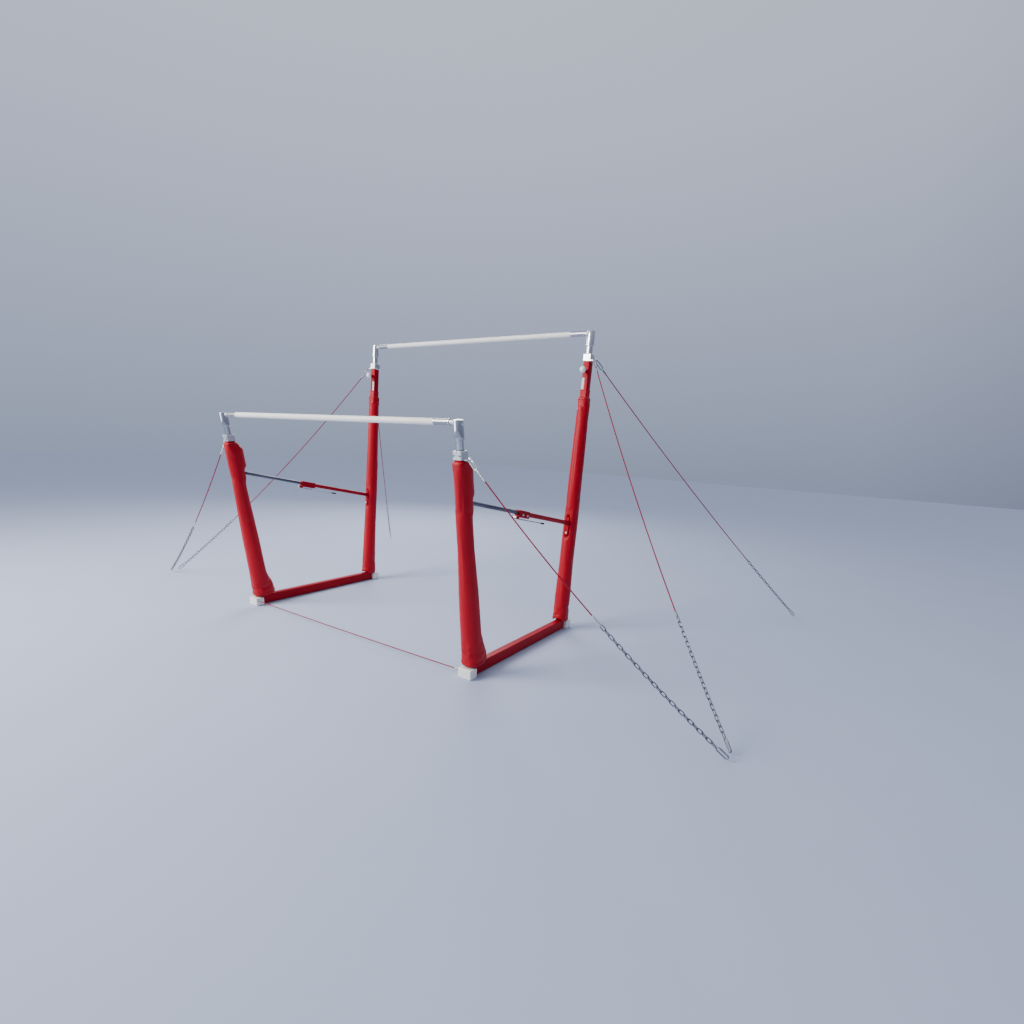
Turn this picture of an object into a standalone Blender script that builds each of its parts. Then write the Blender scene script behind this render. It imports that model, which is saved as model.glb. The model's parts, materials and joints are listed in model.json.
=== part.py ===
"""Uneven parallel bars: two bars at different heights on hinged, telescopic posts, held by tension lines.

Metres, +Z up. X runs along the bars, the low bar is on the -Y side and the high bar on the +Y side.
The origin is on the floor, under the middle of the apparatus. "right" is +X and "left" is -X.
"""

from math import atan2, cos, hypot, pi, radians, sin, sqrt

import bmesh
import bpy
from mathutils import Vector

# Layout of the apparatus
POST_X = 1.26            # post axis, either side of the middle
BAR_LENGTH = 2.40
HINGE_Y = 0.624          # post hinge, either side of the middle
HINGE_Z = 0.12
GAP = 0.0003             # left between pieces that touch
SIDES = {"right": 1, "left": -1}
ROUND, SMALL_ROUND = 24, 12    # facets round a large and a small turned piece

# Each pair of posts: lean is about +X, heights are measured along the post from its hinge,
# and "inward" is the local Y direction that faces the other pair.
LOW = {
    "name": "low", "hinge_y": -HINGE_Y, "lean": radians(6.79), "inward": 1,
    "bar": 1.571, "collar_top": 1.411, "lug": 1.358, "knob": 1.270, "lug_ys": (0.0,),
}
HIGH = {
    "name": "high", "hinge_y": HINGE_Y, "lean": radians(-4.54), "inward": -1,
    "bar": 2.367, "collar_top": 2.205, "lug": 2.152, "knob": 2.072, "lug_ys": (-0.018, 0.018),
}

# Posts and telescopic bar heads
POST_HALF, POST_CORNER, POST_WALL = 0.030, 0.008, 0.004    # a square tube with rounded corners
POST_FOOT, END_PLATE = 0.034, 0.008    # the tube's lower end above the hinge axis, and its closing plate
LUG_WIDTH, LUG_RADIUS = 0.043, 0.024
PIN_RADIUS = 0.008
TUBE_RADIUS, TUBE_WALL, TUBE_INSERTED = 0.025, 0.003, 0.45
COLLAR_SIZE = (0.070, 0.068, 0.058)
COLLAR_OVERLAP = 0.033   # how far the post goes into its collar
HEAD_RADIUS, HEAD_BELOW, HEAD_ABOVE = 0.032, 0.099, 0.015
RAIL_RADIUS, CORE_RADIUS, SLEEVE_LENGTH = 0.020, 0.012, 0.13
CABLE_LUG_X, CABLE_LUG_RADIUS, CABLE_HOLE_RADIUS, CABLE_LUG_THICK = 0.055, 0.016, 0.008, 0.008

# Side frames
BASE_WIDTH, BASE_BOTTOM, BASE_TOP, BASE_WALL = 0.060, 0.005, 0.085, 0.004
BASE_END = 0.643
FOOT_WIDTH, FOOT_LENGTH, FOOT_HEIGHT = 0.115, 0.074, 0.071
EAR_INNER, EAR_OUTER, EAR_HALF = 0.022, 0.030, 0.026

# Spreader strut between the posts of one side frame, drawn along its own -Y from the high post
SPREADER_PIVOT_LOW = (0.051, 1.0886)      # (y, z) in the low post's own frame
SPREADER_PIVOT_HIGH = (-0.0754, 0.8357)   # (y, z) in the high post's own frame
SPREADER_TUBE_RADIUS, SPREADER_BORE, SPREADER_ROD_RADIUS = 0.018, 0.0146, 0.014
SPREADER_MOUTH = 0.776
ROD_INSERTED = 0.28
SPREADER_PIN_RADIUS = 0.006
LEVER_AT = (0.0, -0.791, -0.036)

# Tension lines, hooks and floor anchors
CABLE_RADIUS, CHAIN_FACTOR = 0.004, 3.0
HOOK_WIRE, HOOK_ARC, HOOK_STRAIGHT, HOOK_SEAT = 0.004, 0.011, 0.060, 0.0007
LINE_START = 0.076       # from the seat in the lug to where the line begins, behind its hook
ANCHOR_Z = 0.022
LINE_POINTS = 26
LINES = {                # posts, lug y, anchor (x, y), sag at the middle, length of chain at the floor end
    "low": (LOW, 0.0, (3.00, -0.625), 0.075, 1.02),
    "high_front": (HIGH, -0.018, (3.00, -0.550), 0.100, 0.90),
    "high_back": (HIGH, 0.018, (3.00, 2.55), 0.050, 0.90),
}
TIE_Y, TIE_Z, TIE_SAG = -0.70, 0.050, 0.006


def clear_scene():
    for obj in list(bpy.data.objects):
        bpy.data.objects.remove(obj, do_unlink=True)


def new_collection(name):
    made = bpy.data.collections.new(name)
    bpy.context.scene.collection.children.link(made)
    return made


def material(name, colour, roughness, metallic=0.0):
    made = bpy.data.materials.new(name)
    made.use_nodes = True
    shader = made.node_tree.nodes["Principled BSDF"]
    shader.inputs["Base Color"].default_value = (*colour, 1.0)
    shader.inputs["Roughness"].default_value = roughness
    shader.inputs["Metallic"].default_value = metallic
    made.diffuse_color = (*colour, 1.0)
    return made


clear_scene()
PARTS = new_collection("uneven_parallel_bars")
CUTTERS = new_collection("cutters")
RED_VINYL = material("red_vinyl", (0.50, 0.004, 0.012), 0.35)
RED_PAINT = material("red_paint", (0.42, 0.004, 0.012), 0.3)
CREAM_BAR = material("cream_bar", (0.80, 0.76, 0.66), 0.45)
ALUMINIUM = material("aluminium", (0.75, 0.76, 0.78), 0.35, 1.0)
CHROME = material("chrome", (0.80, 0.80, 0.82), 0.08, 1.0)
GREY_STEEL = material("grey_steel", (0.45, 0.46, 0.48), 0.4, 1.0)
DARK_STEEL = material("dark_steel", (0.05, 0.05, 0.07), 0.4, 0.6)
WHITE_PLASTIC = material("white_plastic", (0.85, 0.84, 0.82), 0.3)
WHITE_RUBBER = material("white_rubber", (0.78, 0.78, 0.77), 0.6)


# ---------------------------------------------------------------- helpers

def place(obj, shade, parent, at, turn=(0, 0, 0)):
    obj.parent = parent
    obj.location = at
    obj.rotation_euler = turn
    obj.data.materials.append(shade)
    PARTS.objects.link(obj)
    return obj


def mesh_object(name, bm, smooth=True):
    mesh = bpy.data.meshes.new(name)
    bm.to_mesh(mesh)
    bm.free()
    if smooth:
        mesh.shade_smooth()
        mesh.set_sharp_from_angle(angle=radians(35))
    return bpy.data.objects.new(name, mesh)


def block(name, size, at, shade, parent=None, bevel=0.0, bevel_steps=1):
    bm = bmesh.new()
    bmesh.ops.create_cube(bm, size=1.0)
    bmesh.ops.scale(bm, vec=size, verts=bm.verts)
    if bevel:
        bmesh.ops.bevel(bm, geom=bm.edges[:], offset=bevel, segments=bevel_steps, profile=0.5, affect="EDGES")
    return place(mesh_object(name, bm), shade, parent, at)


def span(name, x, y, z, shade, parent=None, bevel=0.0):
    """A block from its (low, high) pairs along each axis."""
    ends = (sorted(x), sorted(y), sorted(z))
    size = [high - low for low, high in ends]
    middle = [(high + low) / 2 for low, high in ends]
    return block(name, size, middle, shade, parent, bevel)


def rounded_square(half, corner, steps=3):
    """(x, y) points round a square with rounded corners."""
    flat = half - corner
    points = []
    for quarter in range(4):
        turn = quarter * pi / 2
        middle = (flat * (cos(turn) - sin(turn)), flat * (sin(turn) + cos(turn)))
        for step in range(steps + 1):
            angle = turn + pi / 2 * step / steps
            points.append((middle[0] + corner * cos(angle), middle[1] + corner * sin(angle)))
    return points


def square_bar(name, half, corner, bottom, top, x, shade, parent):
    """An upright bar of rounded square section."""
    bm = bmesh.new()
    face = bm.faces.new([bm.verts.new((px, py, bottom)) for px, py in rounded_square(half, corner)])
    made = bmesh.ops.extrude_face_region(bm, geom=[face])
    moved = [element for element in made["geom"] if isinstance(element, bmesh.types.BMVert)]
    bmesh.ops.translate(bm, vec=(0, 0, top - bottom), verts=moved)
    bmesh.ops.recalc_face_normals(bm, faces=bm.faces)
    return place(mesh_object(name, bm), shade, parent, (x, 0, 0))


def cylinder(name, radius, length, axis, at, shade, parent=None, facets=ROUND):
    bm = bmesh.new()
    bmesh.ops.create_cone(bm, cap_ends=True, segments=facets, radius1=radius, radius2=radius, depth=length)
    turn = {"X": (0, pi / 2, 0), "Y": (pi / 2, 0, 0), "Z": (0, 0, 0)}[axis]
    return place(mesh_object(name, bm), shade, parent, at, turn)


def tab(name, radius, reach, thickness, at, shade, parent=None, turn=(0, 0, 0), spread=0.0):
    """A plate across X with a round top, centred on the round, and a square end at reach below it.
    With a spread, the top is two quarter rounds that far either side of the middle."""
    steps = 6
    outline = [(spread + radius * cos(a),
                radius * sin(a)) for a in (pi / 2 * step / steps for step in range(steps + 1))]
    outline += [(-y, z) for y, z in reversed(outline) if spread or y > 1e-9]
    outline += [(-radius - spread, -reach), (radius + spread, -reach)]
    bm = bmesh.new()
    face = bm.faces.new([bm.verts.new((thickness / 2, y, z)) for y, z in outline])
    made = bmesh.ops.extrude_face_region(bm, geom=[face])
    moved = [element for element in made["geom"] if isinstance(element, bmesh.types.BMVert)]
    bmesh.ops.translate(bm, vec=(-thickness, 0, 0), verts=moved)
    bmesh.ops.recalc_face_normals(bm, faces=bm.faces)
    return place(mesh_object(name, bm), shade, parent, at, turn)


def turned(name, profile, at, shade, parent=None, turn=(0, 0, 0), closed=True, steps=ROUND):
    """(radius, height) points, down the outer side, turned about the local Z axis."""
    bm = bmesh.new()
    points = [bm.verts.new((radius, 0, height)) for radius, height in profile]
    ends = points[1:] + points[:1] if closed else points[1:]
    for first, second in zip(points, ends):
        bm.edges.new((first, second))
    obj = place(mesh_object(name, bm, smooth=False), shade, parent, at, turn)
    screw = obj.modifiers.new("turn", "SCREW")
    screw.steps = screw.render_steps = steps
    screw.use_merge_vertices = True
    screw.merge_threshold = 0.00005
    return obj


def ring(name, outer, inner, bottom, top, at, shade, parent=None, turn=(0, 0, 0), bevel=0.0):
    """A tube from bottom to top, with its outer edges chamfered."""
    profile = [(outer - bevel, top), (outer, top - bevel)] if bevel else [(outer, top)]
    profile += [(outer, bottom + bevel), (outer - bevel, bottom)] if bevel else [(outer, bottom)]
    profile += [(inner, bottom), (inner, top)]
    return turned(name, profile, at, shade, parent, turn)


def boolean(obj, other, operation):
    """Joins other to obj or cuts it away, and keeps it as a helper."""
    modifier = obj.modifiers.new(other.name, "BOOLEAN")
    modifier.operation = operation
    modifier.solver = "EXACT"
    modifier.object = other
    PARTS.objects.unlink(other)
    CUTTERS.objects.link(other)
    other.hide_render = True
    other.display_type = "WIRE"
    return obj


def join(obj, *others):
    for other in others:
        boolean(obj, other, "UNION")
    return obj


def cut(obj, *others):
    for other in others:
        boolean(obj, other, "DIFFERENCE")
    return obj


def wire(name, points, radius, shade, closed=False, factors=None):
    curve = bpy.data.curves.new(name, "CURVE")
    curve.dimensions = "3D"
    curve.bevel_depth = radius
    curve.bevel_resolution = 2
    curve.use_fill_caps = not closed
    spline = curve.splines.new("POLY")
    spline.points.add(len(points) - 1)
    spline.use_cyclic_u = closed
    for index, point in enumerate(points):
        spline.points[index].co = (*point, 1.0)
        spline.points[index].radius = factors[index] if factors else 1.0
    return place(bpy.data.objects.new(name, curve), shade, None, (0, 0, 0))


def pivot(name, y, z, lean):
    """An empty on a joint axis along X, turned so that its own Z runs up the post."""
    empty = bpy.data.objects.new(name, None)
    empty.empty_display_size = 0.1
    empty.location = (0, y, z)
    empty.rotation_euler = (lean, 0, 0)
    PARTS.objects.link(empty)
    return empty


def in_world(posts, y, z):
    """World (Y, Z) of a point in a post's own frame."""
    lean = posts["lean"]
    return Vector((
        posts["hinge_y"] + y * cos(lean) - z * sin(lean),
        HINGE_Z + y * sin(lean) + z * cos(lean),
    ))


# ---------------------------------------------------------------- side frames

def make_base_frame(side, sign):
    x = sign * POST_X
    half = BASE_WIDTH / 2
    end = BASE_END - GAP
    frame = span(f"base_frame_{side}", (x - half, x + half), (-end, end), (BASE_BOTTOM, BASE_TOP),
                 RED_PAINT, bevel=0.004)
    wall = half - BASE_WALL
    cut(frame, span(f"base_bore_{side}", (x - wall, x + wall), (-1, 1),
                    (BASE_BOTTOM + BASE_WALL, BASE_TOP - BASE_WALL), RED_PAINT))
    for posts in (LOW, HIGH):
        y = posts["hinge_y"]
        for inner, outer in ((EAR_INNER, EAR_OUTER), (-EAR_OUTER, -EAR_INNER)):
            name = f"{posts['name']}_{side}_{'outer' if outer > 0 else 'inner'}"
            join(frame, tab(f"ear_{name}", EAR_HALF, HINGE_Z - BASE_TOP + 0.002, EAR_OUTER - EAR_INNER,
                            (x + (inner + outer) / 2, y, HINGE_Z), RED_PAINT))
        cut(frame, cylinder(f"pin_hole_{posts['name']}_{side}", PIN_RADIUS + 0.0002, 0.1, "X",
                            (x, y, HINGE_Z), RED_PAINT, facets=SMALL_ROUND))


def make_hinge_pin(posts, side, sign):
    """A headed pin through both ears and the post's lug."""
    shank, head = EAR_OUTER + GAP, EAR_OUTER + 0.0055
    profile = [(0, head), (0.010, head), (0.012, head - 0.002), (0.012, shank), (PIN_RADIUS, shank)]
    profile += [(radius, -height) for radius, height in reversed(profile)]
    turned(f"hinge_pin_{posts['name']}_{side}", profile, (sign * POST_X, posts["hinge_y"], HINGE_Z),
           GREY_STEEL, turn=(0, pi / 2, 0), closed=False, steps=SMALL_ROUND)


def make_foot(posts, side, sign):
    """A floor block that plugs the end of the base tube."""
    x = sign * POST_X
    out = -posts["inward"]
    shade = WHITE_RUBBER
    half = FOOT_WIDTH / 2
    name = f"foot_{'front' if out < 0 else 'rear'}_{side}"
    foot = span(name, (x - half, x + half), (out * BASE_END, out * (BASE_END + FOOT_LENGTH)),
                (0, FOOT_HEIGHT), shade, bevel=0.005)
    spigot = BASE_WIDTH / 2 - BASE_WALL - 0.0005
    join(foot, span(f"spigot_{name}", (x - spigot, x + spigot),
                    (out * (BASE_END - 0.043), out * (BASE_END + 0.01)),
                    (BASE_BOTTOM + BASE_WALL + 0.0005, FOOT_HEIGHT - 0.006), shade))


def make_tie_cable():
    """The line between the two front feet."""
    end = POST_X - FOOT_WIDTH / 2 - GAP
    count = 24
    points = []
    for index in range(count + 1):
        t = index / count
        points.append((end * (2 * t - 1), TIE_Y, TIE_Z - TIE_SAG * 4 * t * (1 - t)))
    wire("tie_cable", points, CABLE_RADIUS, RED_VINYL)


# ---------------------------------------------------------------- posts

def make_post(posts, side, sign, frame):
    x = sign * POST_X
    name = f"{posts['name']}_{side}"
    inward = posts["inward"]
    top = posts["collar_top"] - COLLAR_SIZE[2] + COLLAR_OVERLAP
    post = square_bar(f"post_{name}", POST_HALF, POST_CORNER, POST_FOOT, top, x, RED_PAINT, frame)
    cut(post, square_bar(f"post_bore_{name}", POST_HALF - POST_WALL, POST_CORNER - POST_WALL,
                         POST_FOOT + END_PLATE,
                         top + 0.01, x, RED_PAINT, frame))
    join(post, tab(f"lug_{name}", LUG_RADIUS, POST_FOOT + 0.004, LUG_WIDTH, (x, 0, 0), RED_PAINT, frame,
                   (pi, 0, 0)))
    cut(post, cylinder(f"hinge_hole_{name}", PIN_RADIUS + 0.0003, 0.1, "X", (x, 0, 0), RED_PAINT, frame,
                       SMALL_ROUND))
    add_pin_boss(post, posts, name, x, frame)
    if inward > 0:
        add_low_fork(post, name, x, frame)
    else:
        add_high_bracket(post, name, x, frame)
    return post


KNOBS = {   # boss radius, boss end, pin radius, all from the post's axis
    "low": (0.011, 0.039, 0.005),
    "high": (0.0135, 0.052, 0.006),
}
PIN_TIP = 0.0257         # pulled clear of the inner tube


def add_pin_boss(post, posts, name, x, frame):
    """The threaded boss that guides the spring pin."""
    radius, end, pin = KNOBS[posts["name"]]
    inward = posts["inward"]
    z = posts["knob"]
    inside = POST_HALF - POST_WALL / 2
    boss = cylinder(f"boss_{name}", radius, end - inside, "Y", (x, inward * (end + inside) / 2, z), RED_PAINT,
                    frame, SMALL_ROUND)
    join(post, boss)
    bore = cylinder(f"boss_bore_{name}", pin + 0.0003, 0.06, "Y", (x, inward * 0.045, z), RED_PAINT, frame,
                    SMALL_ROUND)
    cut(post, bore)


def add_low_fork(post, name, x, frame):
    """Two plates and a pin that carry the eye of the spreader rod."""
    y, z = SPREADER_PIVOT_LOW
    for inner, outer in ((0.0085, 0.0145), (-0.0145, -0.0085)):
        tag = f"{name}_{'outer' if outer > 0 else 'inner'}"
        join(post, tab(f"fork_{tag}", 0.016, y - 0.0265, outer - inner, (x + (inner + outer) / 2, y, z),
                       RED_PAINT, frame,
                       (-pi / 2, 0, 0)))
    join(post, cylinder(f"fork_pin_{name}", SPREADER_PIN_RADIUS, 0.036, "X", (x, y, z), RED_PAINT, frame,
                        SMALL_ROUND))


def add_high_bracket(post, name, x, frame):
    """The bolted bracket with two ears and a pin that carry the spreader tube."""
    y, z = SPREADER_PIVOT_HIGH
    join(post, span(f"bracket_{name}", (x - 0.0145, x + 0.0145), (-0.058, -0.026), (z - 0.110, z + 0.045),
                    RED_PAINT, frame, bevel=0.003))
    for inner, outer in ((0.0075, 0.0135), (-0.0135, -0.0075)):
        tag = f"{name}_{'outer' if outer > 0 else 'inner'}"
        join(post, tab(f"bracket_ear_{tag}", 0.018, -y - 0.050, outer - inner,
                       (x + (inner + outer) / 2, y, z), RED_PAINT, frame, (pi / 2, 0, 0)))
    join(
        post,
        cylinder(f"bracket_pin_{name}", SPREADER_PIN_RADIUS, 0.033, "X", (x, y, z), RED_PAINT, frame,
                 SMALL_ROUND),
        cylinder(f"bracket_bolt_{name}", 0.007, 0.012, "Y", (x, -0.060, z - 0.085), RED_PAINT, frame, 6),
    )


def make_collar(posts, side, sign, frame):
    """The clamp block on top of the post, with the plate that the tension lines hook into."""
    x = sign * POST_X
    name = f"{posts['name']}_{side}"
    top, plate_z = posts["collar_top"], posts["lug"]
    width, depth, height = COLLAR_SIZE
    collar = span(f"collar_{name}", (x - width / 2, x + width / 2), (-depth / 2, depth / 2),
                  (top - height, top), ALUMINIUM, frame, bevel=0.005)
    reach = x + sign * CABLE_LUG_X
    join(collar, tab(f"cable_plate_{name}", CABLE_LUG_RADIUS, CABLE_LUG_X, CABLE_LUG_THICK,
                     (reach, 0, plate_z), ALUMINIUM, frame, (0, sign * pi / 2, 0),
                     spread=max(posts["lug_ys"])))
    for index, y in enumerate(posts["lug_ys"]):
        cut(collar, cylinder(f"cable_hole_{name}_{index}", CABLE_HOLE_RADIUS, 0.03, "Z",
                             (reach, y, plate_z), ALUMINIUM, frame, SMALL_ROUND))
    post_top = top - height + COLLAR_OVERLAP
    cut(
        collar,
        cylinder(f"collar_bore_{name}", TUBE_RADIUS + 0.0004, 0.3, "Z", (x, 0, top - 0.1), ALUMINIUM, frame),
        square_bar(f"collar_seat_{name}", POST_HALF + GAP, POST_CORNER + GAP, top - 0.1, post_top + GAP, x,
                   ALUMINIUM, frame),
    )


def make_pull_knob(posts, side, sign, frame):
    """A spring pin with a ball knob, or a flat knob where the cover hides it. Its own +Z points outwards."""
    _, boss_end, pin = KNOBS[posts["name"]]
    if posts["name"] == "high":
        ball, centre = 0.025, 0.080
        arc = [radians(90 - 20 * step) for step in range(9)]
        profile = [(ball * cos(a) if step else 0, centre + ball * sin(a)) for step, a in enumerate(arc)]
        profile += [(0.010, centre - 0.024), (pin, centre - 0.024)]
    else:
        near, far, radius = boss_end + 0.001, boss_end + 0.012, 0.014
        profile = [(0, far), (radius - 0.002, far), (radius, far - 0.002), (radius, near + 0.002),
                   (radius - 0.002, near), (pin, near)]
    profile += [(pin, PIN_TIP + 0.002), (pin - 0.002, PIN_TIP), (0, PIN_TIP)]
    turn = (-posts["inward"] * pi / 2, 0, 0)
    turned(f"pull_knob_{posts['name']}_{side}", profile, (sign * POST_X, 0, posts["knob"]), WHITE_PLASTIC,
           frame, turn, closed=False, steps=20)


# ---------------------------------------------------------------- pads

PAD_INNER, PAD_INNER_FOOT = 0.0315, 0.054    # half width of the square bore, radius of the one at the hinge
PAD_STEPS = 24
HUGGING, HUGGING_CORNER = 0.036, 0.2         # what is closer in than this follows the post's square section
PADS = {   # bottom, top, {height: half width}, (neck top, neck half width)
    "low": (-0.029, 1.345, ((-0.029, 0.073), (0.18, 0.066), (0.50, 0.0588), (0.80, 0.0490), (1.05, 0.0445),
                            (1.345, 0.0435)), None),
    "high": (-0.038, 1.868, ((-0.038, 0.0665), (0.20, 0.0618), (0.50, 0.0530), (1.0, 0.0508), (1.5, 0.0475),
                             (1.868, 0.043)), (1.926, 0.034)),
}


def pad_width(table, z):
    for (low, first), (high, second) in zip(table, table[1:]):
        if z <= high:
            return first + (second - first) * (z - low) / (high - low)
    return table[-1][1]


def smooth(t):
    t = min(max(t, 0.0), 1.0)
    return t * t * (3 - 2 * t)


def low_pad_swell(z):
    """How far the low pad stands out on its inward side: at the hinge, the spreader and the hidden knob."""
    flare = 0.044 * (1 - smooth((z - 0.02) / 0.19))
    step = 0.021 * smooth((z - 1.00) / 0.04) + 0.029 * smooth((z - 1.121) / 0.012)
    return flare + step * (1 - smooth((z - 1.290) / 0.055))


def corner_share(reach, z):
    """How much of its half width a pad's rounded corner takes: round at the foot, squarer higher up."""
    if reach < HUGGING:
        return HUGGING_CORNER
    if z < 0.07 and reach < PAD_INNER_FOOT + 0.001:
        return 1.0
    return 0.80 - 0.35 * smooth(z / 0.7)


def square_reach(angle, half, share):
    """Distance from the axis to the outline of a rounded square, at an angle."""
    corner = share * half
    flat = half - corner
    folded = abs((angle + pi / 4) % (pi / 2) - pi / 4)
    if half * sin(folded) <= flat * cos(folded):
        return half / cos(folded)
    return flat * (cos(folded) + sin(folded)) + sqrt(corner ** 2 - flat ** 2 * (1 - sin(2 * folded)))


def shape_pad(pad, posts):
    """Gives the turned pad its rounded square section, and the low one its swell."""
    for vertex in pad.data.vertices:
        x, y, z = vertex.co
        reach, angle = hypot(x, y), atan2(y, x)
        squared = square_reach(angle, reach, corner_share(reach, z))
        vertex.co = (squared * cos(angle), squared * sin(angle), z)
        outer = reach > PAD_INNER_FOOT + 0.002 or (reach > HUGGING and z > 0.1)
        if posts is LOW and outer:
            vertex.co.y += low_pad_swell(z) * max(sin(angle), 0) ** 1.5


def make_pad(posts, side, sign, frame):
    x = sign * POST_X
    name = f"{posts['name']}_{side}"
    bottom, top, table, neck = PADS[posts["name"]]
    heights = [top - 0.005, top - 0.03]
    heights += [top - 0.055, top - 0.211, top - 0.224, top - 0.305, top - 0.345] if posts is LOW else []
    heights += [height for height in (1.2, 0.8, 0.5, 0.3, 0.19, 0.13, 0.08, 0.03) if height < heights[-1]]
    heights.append(bottom + 0.006)
    profile = []
    if neck:
        profile += [(neck[1] - 0.001, neck[0]), (neck[1], neck[0] - 0.002), (neck[1], top)]
    profile.append((pad_width(table, top) - 0.004, top))
    profile += [(pad_width(table, z), z) for z in heights]
    profile += [(pad_width(table, bottom) - 0.006, bottom), (PAD_INNER_FOOT, bottom), (PAD_INNER_FOOT, 0.060)]
    profile += [(PAD_INNER, 0.095), (PAD_INNER, neck[0] if neck else top)]
    pad = make_real(turned(f"pad_{name}", profile, (x, 0, 0), RED_VINYL, frame, steps=PAD_STEPS))
    shape_pad(pad, posts)
    cut_pad(pad, posts, name, x, frame)


def make_real(obj):
    """The same object with its modifiers made part of its mesh."""
    graph = bpy.context.evaluated_depsgraph_get()
    obj.data = bpy.data.meshes.new_from_object(obj.evaluated_get(graph))
    obj.modifiers.clear()
    return obj


def cut_pad(pad, posts, name, x, frame):
    inward = posts["inward"]
    notch = span(f"pad_notch_{name}", (x - 0.034, x + 0.034), (inward * 0.03, inward * 0.16),
                 (-0.08, -0.022), RED_VINYL, frame)
    cut(pad, notch)
    if posts is LOW:
        z = SPREADER_PIVOT_LOW[1]
        cut(pad, span(f"pad_slot_{name}", (x - 0.020, x + 0.020), (0.02, 0.12), (z - 0.045, z + 0.030),
                      RED_VINYL, frame))
        cut(pad, span(f"knob_pocket_{name}", (x - 0.018, x + 0.018), (0.02, 0.0645),
                      (LOW["knob"] - 0.022, LOW["knob"] + 0.022), RED_VINYL, frame))
    else:
        z = SPREADER_PIVOT_HIGH[1]
        cut(pad, span(f"pad_slot_{name}", (x - 0.0175, x + 0.0175), (-0.12, -0.02), (z - 0.120, z + 0.055),
                      RED_VINYL, frame))


# ---------------------------------------------------------------- bars

def make_bar(posts, frame):
    name = posts["name"]
    z = posts["bar"]
    end = BAR_LENGTH / 2
    shoulder = end - SLEEVE_LENGTH - GAP
    core_end = POST_X - 0.018
    profile = [(0, core_end), (CORE_RADIUS, core_end), (CORE_RADIUS, shoulder), (RAIL_RADIUS, shoulder)]
    profile += [(radius, -height) for radius, height in reversed(profile)]
    turned(f"bar_rail_{name}", profile, (0, 0, z), CREAM_BAR, frame, turn=(0, pi / 2, 0), closed=False)
    for side, sign in SIDES.items():
        ring(f"bar_sleeve_{name}_{side}", RAIL_RADIUS + 0.0004, CORE_RADIUS + GAP, end - SLEEVE_LENGTH, end,
             (0, 0, z), GREY_STEEL, frame, turn=(0, sign * pi / 2, 0), bevel=0.002)
        make_head(posts, side, sign, frame, core_end)
        bottom = posts["collar_top"] - TUBE_INSERTED
        ring(f"inner_tube_{name}_{side}", TUBE_RADIUS, TUBE_RADIUS - TUBE_WALL, bottom, z - 0.028,
             (sign * POST_X, 0, 0), CHROME, frame)


def make_head(posts, side, sign, frame, core_end):
    """The cap on the inner tube, with a socket for the bar's core."""
    name = f"{posts['name']}_{side}"
    x, z = sign * POST_X, posts["bar"]
    low, high, edge = z - HEAD_BELOW, z + HEAD_ABOVE, 0.004
    profile = [(0, high), (HEAD_RADIUS - edge, high), (HEAD_RADIUS - 0.001, high - 0.001),
               (HEAD_RADIUS, high - edge),
               (HEAD_RADIUS, low + 0.001), (HEAD_RADIUS - 0.001, low), (0, low)]
    head = turned(f"bar_head_{name}", profile, (x, 0, 0), CHROME, frame, closed=False)
    seat = z - 0.0275
    socket_end = sign * (core_end + GAP)
    cut(
        head,
        cylinder(f"head_bore_{name}", TUBE_RADIUS + GAP, 0.2, "Z", (x, 0, seat - 0.1), CHROME, frame),
        cylinder(f"head_socket_{name}", CORE_RADIUS + GAP, 0.1, "X", (socket_end - sign * 0.05, 0, z), CHROME,
                 frame),
    )


# ---------------------------------------------------------------- spreaders

def spreader_line():
    """World (Y, Z) of the spreader's high pivot, its lean about X and its length between pivots."""
    low = in_world(LOW, *SPREADER_PIVOT_LOW)
    high = in_world(HIGH, *SPREADER_PIVOT_HIGH)
    run = low - high
    return high, -atan2(run.y, -run.x), run.length


def make_spreader(side, sign, frame, length):
    x = sign * POST_X
    mouth = -SPREADER_MOUTH
    make_spreader_tube(side, x, frame, mouth)
    make_spreader_rod(side, x, frame, mouth, length)
    make_lever(side, x, frame)


def make_spreader_tube(side, x, frame, mouth):
    """A tube with a tongue at the high post and a clamp round the rod at its mouth."""
    tube = cylinder(f"spreader_tube_{side}", SPREADER_TUBE_RADIUS, -mouth - 0.035, "Y",
                    (x, (mouth - 0.035) / 2, 0), RED_PAINT, frame)
    join(
        tube,
        tab(f"tongue_{side}", 0.015, 0.060, 0.014, (x, 0, 0), RED_PAINT, frame, (-pi / 2, 0, 0)),
        span(f"clamp_{side}", (x - 0.024, x + 0.024), (mouth, mouth + 0.136), (-0.032, 0.021), RED_PAINT,
             frame, bevel=0.003),
    )
    _, hub_y, hub_z = LEVER_AT
    for inner, outer in ((0.0116, 0.0180), (-0.0180, -0.0116)):
        tag = f"{side}_{'outer' if outer > 0 else 'inner'}"
        join(tube, span(f"lever_ear_{tag}", (x + inner, x + outer), (hub_y - 0.009, mouth + 0.01),
                        (hub_z - 0.009, hub_z + 0.009), RED_PAINT, frame))
    join(tube, cylinder(f"lever_pin_{side}", 0.003, 0.034, "X", (x, hub_y, hub_z), RED_PAINT, frame, 12))
    bore_end = -0.11
    cut(
        tube,
        cylinder(f"spreader_bore_{side}", SPREADER_BORE, 0.8, "Y", (x, bore_end - 0.4, 0), RED_PAINT, frame),
        cylinder(f"tongue_hole_{side}", SPREADER_PIN_RADIUS + 0.0004, 0.1, "X", (x, 0, 0), RED_PAINT, frame,
                 SMALL_ROUND),
    )


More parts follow.
